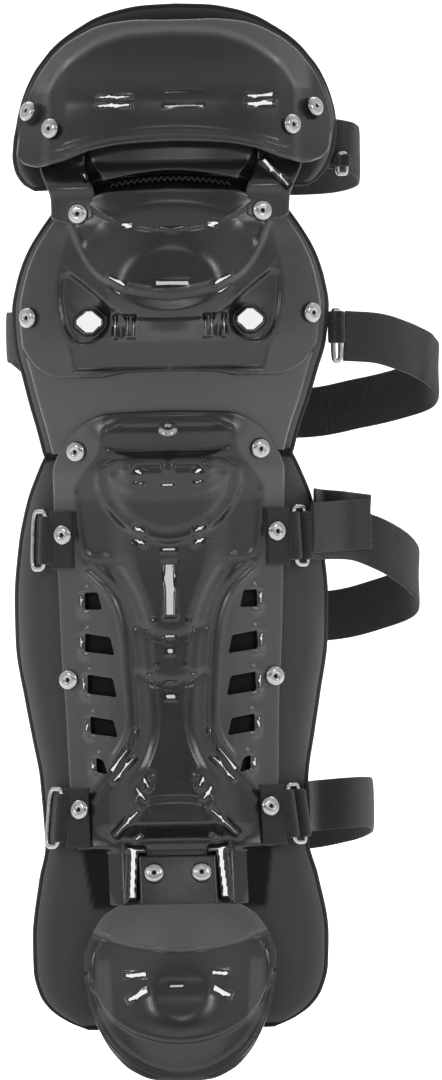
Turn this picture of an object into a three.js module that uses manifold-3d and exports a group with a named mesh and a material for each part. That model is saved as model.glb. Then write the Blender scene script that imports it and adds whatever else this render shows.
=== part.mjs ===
// Baseball catcher leg guard: padded thigh, knee and shin sections under moulded plastic
// plates, with four elastic straps shown closed as round a leg. Millimetres, +Z up,
// front towards -Y. The origin is where the front of the knee meets the knee pad.
import * as THREE from "three";
import { mergeVertices } from "three/addons/utils/BufferGeometryUtils.js";
import Module from "manifold-3d";

const wasm = await Module();
wasm.setup();

// Driving dimensions
const GAP = 0.35; // clearance between pieces that touch
const PAD = 8; // foam and cloth of the pads
const PAD_EDGE = 3.6; // the pads' bound edge
const PLATE = 2.6; // moulded plates
const LINK = 2.4; // hinge links, tongue and foot tab
const SECTION_POWER = 2.5; // squareness of the section round the leg
const WEBBING_WIDTH = 25.4;
const WEBBING = 1.8;
const WIRE = 1.6; // radius of the strap hardware's wire
const RIVET_RADIUS = 5.2;
const RIVET_HEIGHT = 2.2;

// The space for the leg: at each height its half width, depth, front line and side drift
const LEG_FORM = [
  { z: 152, half: 88.5, depth: 56, front: 24, drift: 3 },
  { z: 120, half: 87, depth: 56, front: 13, drift: 3 },
  { z: 90, half: 86, depth: 57, front: 5, drift: 2.6 },
  { z: 60, half: 84, depth: 60, front: 1, drift: 1.4 },
  { z: 30, half: 80, depth: 62, front: 0, drift: 0.6 },
  { z: 0, half: 83, depth: 62, front: 0, drift: 0 },
  { z: -40, half: 79, depth: 58, front: 2, drift: -1.2 },
  { z: -77, half: 72, depth: 53, front: 6, drift: -2.4 },
  { z: -140, half: 81, depth: 56, front: 9, drift: -2.4 },
  { z: -190, half: 78, depth: 54, front: 9, drift: -2.8 },
  { z: -240, half: 71, depth: 49, front: 6, drift: -2.6 },
  { z: -280, half: 72, depth: 45, front: 0, drift: -1.6 },
  { z: -315, half: 77, depth: 42, front: -10, drift: -0.8 },
  { z: -350, half: 77, depth: 40, front: -24, drift: -1.2 },
  { z: -392, half: 74, depth: 36, front: -42, drift: -0.8 },
  { z: -415, half: 74, depth: 36, front: -52, drift: -0.8 },
];

// Smooth curve through a table's rows, with flat ends where the rows turn back
function curve(rows, from, to) {
  const sorted = [...rows].sort((a, b) => a[from] - b[from]);
  const xs = sorted.map((row) => row[from]);
  const ys = sorted.map((row) => row[to]);
  const rise = xs.slice(1).map((x, i) => (ys[i + 1] - ys[i]) / (x - xs[i]));
  const slope = xs.map((_, i) => {
    if (i === 0) return rise[0];
    if (i === xs.length - 1) return rise[i - 1];
    if (rise[i - 1] * rise[i] <= 0) return 0;
    return (2 * rise[i - 1] * rise[i]) / (rise[i - 1] + rise[i]);
  });
  return (x) => {
    if (x <= xs[0]) return ys[0];
    if (x >= xs[xs.length - 1]) return ys[ys.length - 1];
    const i = xs.findIndex((_, k) => x < xs[k + 1]);
    const span = xs[i + 1] - xs[i];
    const t = (x - xs[i]) / span;
    const t2 = t * t;
    const t3 = t2 * t;
    return (
      (2 * t3 - 3 * t2 + 1) * ys[i] +
      (t3 - 2 * t2 + t) * span * slope[i] +
      (3 * t2 - 2 * t3) * ys[i + 1] +
      (t3 - t2) * span * slope[i + 1]
    );
  };
}

const legHalf = curve(LEG_FORM, "z", "half");
const legDepth = curve(LEG_FORM, "z", "depth");
const legFront = curve(LEG_FORM, "z", "front");
const legDrift = curve(LEG_FORM, "z", "drift");

const smooth = (t) => {
  const s = Math.min(1, Math.max(0, t));
  return s * s * (3 - 2 * s);
};
const mix = (a, b, t) => a + (b - a) * t;
const hill = (x, width) => Math.exp(-((x / width) ** 2));

// Point of the leg form, x counted from its drifting centre line
function formPoint(x, z) {
  const r = Math.min(0.985, Math.abs(x) / legHalf(z));
  const back = 1 - (1 - r ** SECTION_POWER) ** (1 / SECTION_POWER);
  return new THREE.Vector3(x + legDrift(z), legFront(z) + legDepth(z) * back, z);
}

// Outward normal of the leg form, from points a little either side
function formNormal(x, z) {
  const step = 0.5;
  const across = formPoint(x + step, z).sub(formPoint(x - step, z));
  const up = formPoint(x, z + step).sub(formPoint(x, z - step));
  return across.cross(up).normalize();
}

// Point that lies a given distance outside the leg form and shows at x, z from the front
function layer(x, z, distance) {
  const ease = 0.7;
  const rounds = 14;
  let fx = x;
  let fz = z;
  for (let i = 0; i < rounds; i++) {
    const normal = formNormal(fx, fz);
    const drift = legDrift(fz) - legDrift(z);
    fx += ease * (x - drift - normal.x * distance - fx);
    fz += ease * (z - normal.z * distance - fz);
  }
  return formPoint(fx, fz).addScaledVector(formNormal(fx, fz), distance);
}

// Closed body from a front and a back grid of points with a common edge all round
function closedGrid(columns, rows, front, back) {
  const points = [];
  const faces = [];
  const stride = columns + 1;
  for (const side of [front, back])
    for (let j = 0; j <= rows; j++)
      for (let i = 0; i <= columns; i++) points.push(side(i / columns, j / rows));
  const at = (i, j, side) => side * stride * (rows + 1) + j * stride + i;
  const quad = (a, b, c, d) => faces.push(a, b, c, a, c, d);
  for (let j = 0; j < rows; j++)
    for (let i = 0; i < columns; i++) {
      quad(at(i, j, 0), at(i + 1, j, 0), at(i + 1, j + 1, 0), at(i, j + 1, 0));
      quad(at(i, j, 1), at(i, j + 1, 1), at(i + 1, j + 1, 1), at(i + 1, j, 1));
    }
  for (let i = 0; i < columns; i++) {
    quad(at(i, 0, 1), at(i + 1, 0, 1), at(i + 1, 0, 0), at(i, 0, 0));
    quad(at(i, rows, 0), at(i + 1, rows, 0), at(i + 1, rows, 1), at(i, rows, 1));
  }
  for (let j = 0; j < rows; j++) {
    quad(at(0, j, 0), at(0, j + 1, 0), at(0, j + 1, 1), at(0, j, 1));
    quad(at(columns, j, 1), at(columns, j + 1, 1), at(columns, j + 1, 0), at(columns, j, 0));
  }
  const geometry = new THREE.BufferGeometry().setFromPoints(points);
  geometry.setIndex(faces);
  return geometry;
}

// Sheet laid round the leg. side(z) is its half width, top(u) and bottom(u) its ends with
// u from -1 to 1 across, under(x, z) and over(x, z) its two faces' distances from the form.
function laidSheet({ columns, rows, side, top, bottom, under, over, centre, bow = 0.9 }) {
  const middle = centre ?? (() => 0);
  const place = (i, j) => {
    const u = Math.sin((2 * i - 1) * bow) / Math.sin(bow);
    const z = mix(bottom(u), top(u), j);
    return [middle(z) + u * side(z), z];
  };
  const face = (distance) => (i, j) => {
    const [x, z] = place(i, j);
    return layer(x, z, distance(x, z));
  };
  return closedGrid(columns, rows, face(over), face(under));
}

const flat = (value) => () => value;

// Thigh section
const THIGH_PAD_SIDE = [
  { z: 57, half: 68 },
  { z: 61, half: 74 },
  { z: 68, half: 78.5 },
  { z: 76, half: 80.5 },
  { z: 96, half: 81 },
];
const THIGH_ARCH = [
  { u: 0, z: 149 },
  { u: 0.2, z: 148.3 },
  { u: 0.38, z: 145.6 },
  { u: 0.5, z: 142.2 },
  { u: 0.6, z: 137.6 },
  { u: 0.695, z: 132.5 },
  { u: 0.766, z: 127.5 },
  { u: 0.818, z: 122.5 },
  { u: 0.87, z: 117 },
  { u: 0.93, z: 107.5 },
  { u: 0.975, z: 96 },
  { u: 1, z: 84 },
];
const THIGH_LEAN = 2.2; // how far the thigh section's middle lies to the outer side
const THIGH_PLATE_INSET = 2.2;
const THIGH_PLATE_BOTTOM = [
  { u: 0, z: 78.5 },
  { u: 0.3, z: 77.5 },
  { u: 0.5, z: 75 },
  { u: 0.72, z: 69.5 },
  { u: 0.88, z: 67.5 },
  { u: 0.96, z: 69.5 },
  { u: 1, z: 74 },
];
const thighSide = curve(THIGH_PAD_SIDE, "z", "half");
const thighArch = curve(THIGH_ARCH, "u", "z");
const thighPlateFoot = curve(THIGH_PLATE_BOTTOM, "u", "z");
const thighCentre = (z) => THIGH_LEAN * smooth((z - 60) / 35);
const thighPadTop = (u) => thighArch(Math.abs(u));
const thighPadBottom = (u) => mix(63, 57, smooth((Math.abs(u) - 0.4) / 0.3));
const thighPlateTop = (u) => thighArch(Math.abs(u)) - mix(8, 2, smooth(Math.abs(u) * 1.2));
const thighPlateBottom = (u) => thighPlateFoot(Math.abs(u));

// The thigh plate stands off the links at its foot, bulges in a roll and has a raised panel
const OVER_LINKS = { height: 6.4, from: 98, run: 26 };
const THIGH_ROLL = { height: 5, z: 99, width: 17 };
const THIGH_PANEL = { height: 2.4, top: 134, topRun: 5, bottom: 80, bottomRun: 6 };
const THIGH_FLANK = { from: 70, run: 10 };
function thighPlateUnder(x, z) {
  const overLinks = OVER_LINKS.height * smooth((OVER_LINKS.from - z) / OVER_LINKS.run);
  const roll = THIGH_ROLL.height * hill(z - THIGH_ROLL.z, THIGH_ROLL.width);
  const panel =
    THIGH_PANEL.height *
    smooth((THIGH_PANEL.top - z) / THIGH_PANEL.topRun) *
    smooth((z - THIGH_PANEL.bottom) / THIGH_PANEL.bottomRun);
  const inside = smooth((THIGH_FLANK.from - Math.abs(x)) / THIGH_FLANK.run);
  return PAD + GAP + overLinks + (roll + panel) * inside;
}
const thighPlateOver = (x, z) => thighPlateUnder(x, z) + PLATE;

// Knee section
const KNEE_PAD_SIDE = [
  { z: 46, half: 57.6 },
  { z: 36, half: 65 },
  { z: 27, half: 70.7 },
  { z: 19, half: 74.3 },
  { z: 10, half: 77 },
  { z: -3, half: 79.2 },
  { z: -20, half: 78 },
  { z: -36, half: 73.7 },
  { z: -50, half: 69.8 },
  { z: -63, half: 65.7 },
  { z: -77, half: 62 },
];
const KNEE_TOP = [
  { u: 0, z: 62.3 },
  { u: 0.6, z: 60 },
  { u: 0.85, z: 53 },
  { u: 1, z: 46 },
];
const KNEE_PLATE_TOP = [
  { u: 0, z: 55.5 },
  { u: 0.6, z: 54 },
  { u: 0.85, z: 48.5 },
  { u: 1, z: 40 },
];
const KNEE_PLATE_BOTTOM = [
  { u: 0, z: -35.5 },
  { u: 0.3, z: -36.2 },
  { u: 0.5, z: -38.4 },
  { u: 0.8, z: -38 },
  { u: 0.93, z: -33 },
  { u: 1, z: -22 },
];
const PLATE_INSET = 3.8; // how far the bound pad shows beside a plate
const WAIST = -77; // where the knee pad ends and the shin pad begins
const kneeSide = curve(KNEE_PAD_SIDE, "z", "half");
const kneeArch = curve(KNEE_TOP, "u", "z");
const kneePlateArch = curve(KNEE_PLATE_TOP, "u", "z");
const kneePlateFoot = curve(KNEE_PLATE_BOTTOM, "u", "z");
const kneePlateSide = (z) => kneeSide(z) - PLATE_INSET;

// The kneecap: a cup over the joint, a raised ring round it and pockets at the sides
const KNEE_CUP = { height: 13, wide: 54, tall: 46, z: 10, shoulder: 0.62 };
const KNEE_BROW = { height: 2.2, z: 33, tall: 4, wide: 46 };
const KNEE_BRIDGE = { height: 4, z: -18, tall: 12, wide: 40 };
const KNEE_POCKET = { height: -2.6, x: 53, wide: 7, tall: 17 };
function kneeRelief(x, z) {
  const r = Math.hypot(x / KNEE_CUP.wide, (z - KNEE_CUP.z) / KNEE_CUP.tall);
  const cup = KNEE_CUP.height * smooth((1 - r) / KNEE_CUP.shoulder);
  const brow =
    KNEE_BROW.height * hill(z - KNEE_BROW.z, KNEE_BROW.tall) * hill(x, KNEE_BROW.wide);
  const bridge =
    KNEE_BRIDGE.height * hill(z - KNEE_BRIDGE.z, KNEE_BRIDGE.tall) * hill(x, KNEE_BRIDGE.wide);
  const pocket =
    KNEE_POCKET.height *
    hill(Math.abs(x) - KNEE_POCKET.x, KNEE_POCKET.wide) *
    hill(z, KNEE_POCKET.tall);
  return cup + brow + bridge + pocket;
}
function kneePlateUnder(x, z) {
  const clearOfLower = PAD + PLATE + 2 * GAP;
  return clearOfLower + kneeRelief(x, z);
}
const kneePlateOver = (x, z) => kneePlateUnder(x, z) + PLATE;

const LOWER_KNEE_TOP = -27;
const LOWER_KNEE_BOTTOM = -76;
const lowerKneeSide = (z) => kneeSide(z) - PLATE_INSET - 0.6;
const lowerKneeUnder = flat(PAD + GAP);
const lowerKneeOver = flat(PAD + GAP + PLATE);

// Shin section
const SHIN_PAD_SIDE = [
  { z: -77.4, half: 62 },
  { z: -85, half: 65.5 },
  { z: -100, half: 71.3 },
  { z: -122, half: 76 },
  { z: -150, half: 78.5 },
  { z: -170, half: 78.2 },
  { z: -200, half: 73.7 },
  { z: -218, half: 70.6 },
  { z: -240, half: 66.9 },
  { z: -272, half: 65.5 },
  { z: -290, half: 69.5 },
  { z: -318, half: 73.5 },
  { z: -334, half: 73 },
  { z: -345, half: 70 },
  { z: -352, half: 65 },
  { z: -358, half: 56 },
  { z: -362, half: 46 },
];
const SHIN_PLATE_SIDE = [
  { z: -75, half: 55 },
  { z: -86, half: 58 },
  { z: -100, half: 58 },
  { z: -140, half: 56.5 },
  { z: -175, half: 55.3 },
  { z: -205, half: 53.5 },
  { z: -240, half: 52.4 },
  { z: -275, half: 49 },
  { z: -302, half: 45 },
];
const SHIN_ARCH = [
  { u: 0, z: -55.5 },
  { u: 0.55, z: -56.5 },
  { u: 0.76, z: -60.5 },
  { u: 0.9, z: -67 },
  { u: 1, z: -77 },
];
const SHIN_FOOT = -362;
const INSTEP_NOTCH = 24;
const SHIN_PLATE_FOOT = -302;
const shinPadSide = curve(SHIN_PAD_SIDE, "z", "half");
const shinPlateSide = curve(SHIN_PLATE_SIDE, "z", "half");
const shinArch = curve(SHIN_ARCH, "u", "z");
const shinPadBottom = (u) => SHIN_FOOT + INSTEP_NOTCH * hill(u, 0.3);

const FOOT_TAB_TOP = -276;

// The shin plate: a recess under the top rivet, a shield, a ridge between two channels,
// and a plain flat end under the foot tab
const RIDGE = { height: 9, flank: 12, run: 15, topHalf: 20, waistHalf: 10, footSpread: 12 };
const RIDGE_WAIST = { from: -125, run: 40 };
const RIDGE_FOOT = { from: -215, run: 35 };
const SHOULDER = { height: 3, from: 46, run: 16 };
const SHIELD = { height: 3.4, wide: 38, tall: 36, z: -92, shoulder: 0.35 };
const KNUCKLES = { height: 2.2, upper: -160, lower: -187, width: 9 };
const SHIN_FADE = { top: -57, topRun: 14, foot: 6, footRun: 10 };
function shinRelief(x, z) {
  const a = Math.abs(x);
  const ridgeHalf =
    mix(RIDGE.topHalf, RIDGE.waistHalf, smooth((RIDGE_WAIST.from - z) / RIDGE_WAIST.run)) +
    RIDGE.footSpread * smooth((RIDGE_FOOT.from - z) / RIDGE_FOOT.run);
  const ridge = RIDGE.height * smooth((ridgeHalf + RIDGE.flank - a) / RIDGE.run);
  const shoulder = SHOULDER.height * smooth((SHOULDER.from - a) / SHOULDER.run);
  const shieldEdge = 1 - Math.hypot(x / SHIELD.wide, (z - SHIELD.z) / SHIELD.tall);
  const shield = SHIELD.height * smooth(shieldEdge / SHIELD.shoulder);
  const knuckles =
    KNUCKLES.height *
    (hill(z - KNUCKLES.upper, KNUCKLES.width) + hill(z - KNUCKLES.lower, KNUCKLES.width)) *
    hill(x, KNUCKLES.width);
  const fade =
    smooth((SHIN_FADE.top - z) / SHIN_FADE.topRun) *
    smooth((z - FOOT_TAB_TOP - SHIN_FADE.foot) / SHIN_FADE.footRun);
  return (ridge + shoulder + shield + knuckles) * fade;
}
const OVER_LOWER_KNEE = { from: -101, run: 18 };
function shinPlateUnder(x, z) {
  const overLower = (PLATE + GAP) * smooth((z - OVER_LOWER_KNEE.from) / OVER_LOWER_KNEE.run);
  return PAD + GAP + overLower + shinRelief(x, z);
}
const shinPlateOver = (x, z) => shinPlateUnder(x, z) + PLATE;

// Vent slots: rows on both sides, each slot falling towards the ridge
const VENTS = [
  { inner: 34.5, outer: 43, top: -145.5, bottom: -154, fall: 0 },
  { inner: 28.5, outer: 43, top: -166, bottom: -175, fall: 2 },
  { inner: 27.5, outer: 42, top: -186.5, bottom: -196, fall: 2 },
  { inner: 27.5, outer: 41, top: -207.5, bottom: -216, fall: 2 },
  { inner: 33, outer: 38.5, top: -228, bottom: -235, fall: 1.5 },
];

// Foot plate
const FOOT_SIDE = 47.6;
const FOOT_ARCH = [
  { u: 0, z: -300 },
  { u: 0.6, z: -301 },
  { u: 0.78, z: -305.5 },
  { u: 0.9, z: -313 },
  { u: 1, z: -324 },
];
const FOOT_RIM = [
  { u: 0, z: -387.5 },
  { u: 0.3, z: -386 },
  { u: 0.54, z: -381 },
  { u: 0.72, z: -372.5 },
  { u: 0.86, z: -361 },
  { u: 0.95, z: -349 },
  { u: 1, z: -337 },
];
const footArch = curve(FOOT_ARCH, "u", "z");
const footRim = curve(FOOT_RIM, "u", "z");
const FOOT_TAB_HALF = 20;
const FOOT_TAB_BOTTOM = -308;
const FOOT_DOME = { height: 13, wide: 46, tall: 46, z: -342, shoulder: 0.75 };
const FOOT_LIP = { height: 1.6, z: -317, tall: 5, from: 44, run: 10 };

function footRelief(x, z) {
  const r = Math.hypot(x / FOOT_DOME.wide, (z - FOOT_DOME.z) / FOOT_DOME.tall);
  const dome = FOOT_DOME.height * smooth((1 - r) / FOOT_DOME.shoulder);
  const lip =
    FOOT_LIP.height *
    hill(z - FOOT_LIP.z, FOOT_LIP.tall) *
    smooth((FOOT_LIP.from - Math.abs(x)) / FOOT_LIP.run);
  return dome + lip;
}
const footTabUnder = flat(PAD + PLATE + 3 * GAP);
const footTabOver = (x, z) => footTabUnder(x, z) + LINK;
const FOOT_SEAT = PAD + PLATE + LINK + 5 * GAP;
const footPlateUnder = (x, z) => FOOT_SEAT + footRelief(x, z);
const footPlateOver = (x, z) => footPlateUnder(x, z) + PLATE;

// Tongue and links under the thigh plate's foot
const TONGUE = { top: 86, foot: 64.5, arch: 5, narrow: 33.5, wide: 41, waist: 59, run: 14 };
const TONGUE_STEP = { height: 4.6, from: 70, run: 9 };
const LINK_END = { top: 79, foot: 43, round: 4.5 };
const LINK_LEAN = { foot: 48.5, top: 54.5, from: 50, run: 20 };
const LINK_HALF = { foot: 11, top: 11.5, from: 44, run: 14 };
const LINK_STEP = { seat: 54, from: 55, run: 14 };
const tongueSide = (z) =>
  mix(TONGUE.narrow, TONGUE.wide, smooth((z - TONGUE.waist) / TONGUE.run));
const tongueBottom = (u) => TONGUE.foot - TONGUE.arch * Math.abs(u) ** 1.6;
const tongueUnder = (x, z) =>
  PAD + GAP + TONGUE_STEP.height * smooth((TONGUE_STEP.from - z) / TONGUE_STEP.run);
const linkCentre = (z) =>
  mix(LINK_LEAN.foot, LINK_LEAN.top, smooth((z - LINK_LEAN.from) / LINK_LEAN.run));
const linkSide = (z) =>
  mix(LINK_HALF.foot, LINK_HALF.top, smooth((z - LINK_HALF.from) / LINK_HALF.run));
const linkBottom = (u) => LINK_END.foot - LINK_END.round * Math.sqrt(Math.max(0, 1 - u * u));
function linkUnder(x, z) {
  const seated = kneePlateOver(x, Math.min(z, LINK_STEP.seat)) + GAP;
  return mix(seated, PAD + GAP, smooth((z - LINK_STEP.from) / LINK_STEP.run));
}

// Pad faces: full thickness inside, thin and bound at the edge
const PAD_SOFT_EDGE = 9;
function padOver(side, top, bottom, centre = flat(0)) {
  return (x, z) => {
    const out = Math.abs(x - centre(z));
    const u = Math.min(1, out / side(z));
    const inwards = Math.min(side(z) - out, top(u) - z, z - bottom(u));
    return mix(PAD_EDGE, PAD, Math.sqrt(smooth(inwards / PAD_SOFT_EDGE)));
  };
}

const MATERIALS = {
  moulded_plastic: new THREE.MeshStandardMaterial({ color: 0x2a2a2b, roughness: 0.22 }),
  foam_cloth: new THREE.MeshStandardMaterial({ color: 0x1c1c1d, roughness: 0.85 }),
  webbing: new THREE.MeshStandardMaterial({ color: 0x232324, roughness: 0.9 }),
  nickel: new THREE.MeshStandardMaterial({ color: 0xc9cacc, roughness: 0.25, metalness: 1 }),
};

const guard = new THREE.Group();
function add(name, geometry, material) {
  const mesh = new THREE.Mesh(geometry, MATERIALS[material]);
  mesh.name = name;
  guard.add(mesh);
  return mesh;
}

// Solid for cutting, from a closed geometry
function solid(geometry) {
  const bare = geometry.clone();
  bare.deleteAttribute("normal");
  bare.deleteAttribute("uv");
  const merged = mergeVertices(bare, 1e-4);
  return new wasm.Manifold(
    new wasm.Mesh({
      numProp: 3,
      vertProperties: new Float32Array(merged.attributes.position.array),
      triVerts: new Uint32Array(merged.index.array),
    }),
  );
}
function geometryOf(body) {
  const mesh = body.getMesh();
  const positions = new THREE.BufferAttribute(new Float32Array(mesh.vertProperties), 3);
  const geometry = new THREE.BufferGeometry().setAttribute("position", positions);
  geometry.setIndex(Array.from(mesh.triVerts));
  return geometry;
}

function pads() {
  add(
    "thigh_pad",
    laidSheet({
      columns: 16,
      rows: 7,
      side: thighSide,
      top: thighPadTop,
      bottom: thighPadBottom,
      under: flat(0),
      over: padOver(thighSide, thighPadTop, thighPadBottom, thighCentre),
      centre: thighCentre,
    }),
    "foam_cloth",
  );
  const kneeTop = (u) => kneeArch(Math.abs(u));
  add(
    "knee_pad",
    laidSheet({
      columns: 16,
      rows: 11,
      side: kneeSide,
      top: kneeTop,
      bottom: flat(WAIST),
      under: flat(0),
      over: padOver(kneeSide, kneeTop, flat(WAIST)),
    }),
    "foam_cloth",
  );
  add(
    "shin_pad",
    laidSheet({
      columns: 14,
      rows: 20,
      side: shinPadSide,
      top: flat(WAIST - GAP),
      bottom: shinPadBottom,
      under: flat(0),
      over: padOver(shinPadSide, flat(WAIST - GAP), shinPadBottom),
    }),
    "foam_cloth",
  );
}

function thighPlates() {
  add(
    "thigh_plate",
    laidSheet({
      columns: 18,
      rows: 9,
      side: (z) => thighSide(z) - THIGH_PLATE_INSET,
      top: thighPlateTop,
      bottom: thighPlateBottom,
      under: thighPlateUnder,
      over: thighPlateOver,
      centre: thighCentre,
    }),
    "moulded_plastic",
  );
  add(
    "thigh_tongue",
    laidSheet({
      columns: 8,
      rows: 5,
      side: tongueSide,
      top: flat(TONGUE.top),
      bottom: tongueBottom,
      under: tongueUnder,
      over: (x, z) => tongueUnder(x, z) + LINK,
      bow: 0.1,
    }),
    "moulded_plastic",
  );
  for (const [where, sign] of [["left", -1], ["right", 1]])
    add(
      "knee_link_" + where,
      laidSheet({
        columns: 4,
        rows: 8,
        side: linkSide,
        top: flat(LINK_END.top),
        bottom: linkBottom,
        under: linkUnder,
        over: (x, z) => linkUnder(x, z) + LINK,
        centre: (z) => sign * linkCentre(z),
        bow: 0.1,
      }),
      "moulded_plastic",
    );
}

function kneePlates() {
  add(
    "knee_plate",
    laidSheet({
      columns: 20,
      rows: 15,
      side: kneePlateSide,
      top: (u) => kneePlateArch(Math.abs(u)),
      bottom: (u) => kneePlateFoot(Math.abs(u)),
      under: kneePlateUnder,
      over: kneePlateOver,
      bow: 0.5,
    }),
    "moulded_plastic",
  );
  add(
    "lower_knee_plate",
    laidSheet({
      columns: 14,
      rows: 4,
      side: lowerKneeSide,
      top: flat(LOWER_KNEE_TOP),
      bottom: flat(LOWER_KNEE_BOTTOM),
      under: lowerKneeUnder,
      over: lowerKneeOver,
    }),
    "moulded_plastic",
  );
}

// Prism through the plate at one vent slot, on the side given by the sign
function ventCutter(vent, sign) {
  const outline = new THREE.Shape();
  outline.moveTo(vent.outer, vent.top);
  outline.lineTo(vent.outer, vent.bottom);
  outline.lineTo(vent.inner, vent.bottom - vent.fall);
  outline.lineTo(vent.inner + 2, vent.top - vent.fall);
  const reach = 120;
  const prism = new THREE.ExtrudeGeometry(outline, { depth: reach, bevelEnabled: false });
  prism.rotateX(Math.PI / 2);
  prism.translate(0, reach / 2, 0);
  const cutter = solid(prism);
  return (sign < 0 ? cutter.mirror([1, 0, 0]) : cutter).translate([
    legDrift((vent.top + vent.bottom) / 2),
    0,
    0,
  ]);
}

function shinPlate() {
  let plate = solid(
    laidSheet({
      columns: 18,
      rows: 24,
      side: shinPlateSide,
      top: (u) => shinArch(Math.abs(u)),
      bottom: flat(SHIN_PLATE_FOOT),
      under: shinPlateUnder,
      over: shinPlateOver,
      bow: 0.4,
    }),
  );
  for (const vent of VENTS)
    for (const sign of [-1, 1]) plate = plate.subtract(ventCutter(vent, sign));
  add("shin_plate", geometryOf(plate), "moulded_plastic");
}

function footPlates() {
  add(
    "foot_tab",
    laidSheet({
      columns: 4,
      rows: 5,
      side: flat(FOOT_TAB_HALF),
      top: flat(FOOT_TAB_TOP),
      bottom: flat(FOOT_TAB_BOTTOM),
      under: footTabUnder,
      over: footTabOver,
      bow: 0.1,
    }),
    "moulded_plastic",
  );
  add(
    "foot_plate",
    laidSheet({
      columns: 18,
      rows: 12,
      side: flat(FOOT_SIDE),
      top: (u) => footArch(Math.abs(u)),
      bottom: (u) => footRim(Math.abs(u)),
      under: footPlateUnder,
      over: footPlateOver,
    }),
    "moulded_plastic",
  );
}

// Rivets: where each sits, and on which face
const linkOver = (x, z) => linkUnder(x, z) + LINK;
const tabOver = (x, z) => tabUnder(x, z) + WEBBING;
const RIVETS = [
  { name: "thigh_outer", x: 70.5, z: 95.5, on: thighPlateOver, carrier: "thigh_plate" },
  { name: "thigh_inner", x: 60.5, z: 86.5, on: thighPlateOver, carrier: "thigh_plate" },
  { name: "link", x: 45.8, z: 43.5, on: linkOver, carrier: "knee_link", paired: true },
  { name: "knee", x: 71, z: -7.5, on: kneePlateOver, carrier: "knee_plate" },
  { name: "shin_upper", x: 45.8, z: -75, on: shinPlateOver, carrier: "shin_plate" },
  { name: "tab_upper", x: 53.5, z: -116.5, on: tabOver, carrier: "ring_tab_upper", paired: true },
  { name: "shin_middle", x: 51.5, z: -189, on: shinPlateOver, carrier: "shin_plate" },
  { name: "tab_lower", x: 47.5, z: -254, on: tabOver, carrier: "ring_tab_lower", paired: true },
  { name: "foot", x: 11.8, z: -285.7, on: footTabOver, carrier: "foot_tab" },
];
const TOP_RIVET = { x: 0, z: -66 };

// Round nickel head with a hollow centre, its axis along the face's normal
function rivetHead() {
  const r = RIVET_RADIUS;
  const h = RIVET_HEIGHT;
  const profile = [
    [0, 0],
    [r, 0],
    [r * 0.8, h * 0.85],
    [r * 0.5, h],
    [0, h * 0.6],
  ];
  return new THREE.LatheGeometry(
    profile.map(([x, y]) => new THREE.Vector2(x, y)),
    9,
  );
}
// Sets a head on the face under it: rays from its flat back find the face's highest point
function seat(head, x, z, on, carrier) {
  const step = RIVET_RADIUS;
  const clear = 10;
  const at = (dx, dz) => layer(x + dx, z + dz, on(x + dx, z + dz));
  const across = at(step, 0).sub(at(-step, 0));
  const up = at(0, step).sub(at(0, -step));
  const normal = across.clone().cross(up).normalize();
  const side = across.normalize();
  const rise = normal.clone().cross(side);
  const start = at(0, 0).addScaledVector(normal, clear);
  const reach = [];
  for (const share of [0, 0.35, 0.7, 1])
    for (let k = 0; k < 16; k++) {
      const angle = (k * Math.PI) / 8;
      const from = start
        .clone()
        .addScaledVector(side, share * RIVET_RADIUS * Math.cos(angle))
        .addScaledVector(rise, share * RIVET_RADIUS * Math.sin(angle));
      const ray = new THREE.Raycaster(from, normal.clone().negate());
      for (const hit of ray.intersectObject(guard.getObjectByName(carrier)))
        reach.push(hit.distance);
    }
  head.position.copy(start).addScaledVector(normal, GAP - Math.min(...reach));
  head.quaternion.setFromUnitVectors(new THREE.Vector3(0, 1, 0), normal);
}
function rivets() {
  for (const rivet of RIVETS)
    for (const [where, sign] of [["left", -1], ["right", 1]]) {
      const head = add("rivet_" + rivet.name + "_" + where, rivetHead(), "nickel");
      const carrier = rivet.paired ? rivet.carrier + "_" + where : rivet.carrier;
      seat(head, sign * rivet.x, rivet.z, rivet.on, carrier);
    }
  const top = add("rivet_shin_top", rivetHead(), "nickel");
  seat(top, TOP_RIVET.x, TOP_RIVET.z, shinPlateOver, "shin_plate");
}

// Webbing tabs that carry the wire rings at the plate's sides
const TABS = [
  { name: "upper", inner: 49, outer: 60, z: -119, half: 14.5 },
  { name: "lower", inner: 43, outer: 55, z: -258, half: 15 },
];
const TAB_SEAT = 50; // beyond this the tabs keep the height that the plate has here
function tabUnder(x, z) {
  return shinPlateOver(Math.sign(x) * Math.min(Math.abs(x), TAB_SEAT), z) + GAP;
}

function tabs() {
  for (const tab of TABS)
    for (const [where, sign] of [["left", -1], ["right", 1]])
      add(
        "ring_tab_" + tab.name + "_" + where,
        laidSheet({
          columns: 4,
          rows: 3,
          side: flat((tab.outer - tab.inner) / 2),
          top: flat(tab.z + tab.half),
          bottom: flat(tab.z - tab.half),
          under: tabUnder,
          over: (x, z) => tabUnder(x, z) + WEBBING,
          centre: flat((sign * (tab.outer + tab.inner)) / 2),
          bow: 0.1,
        }),
        "webbing",
      );
}

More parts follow.
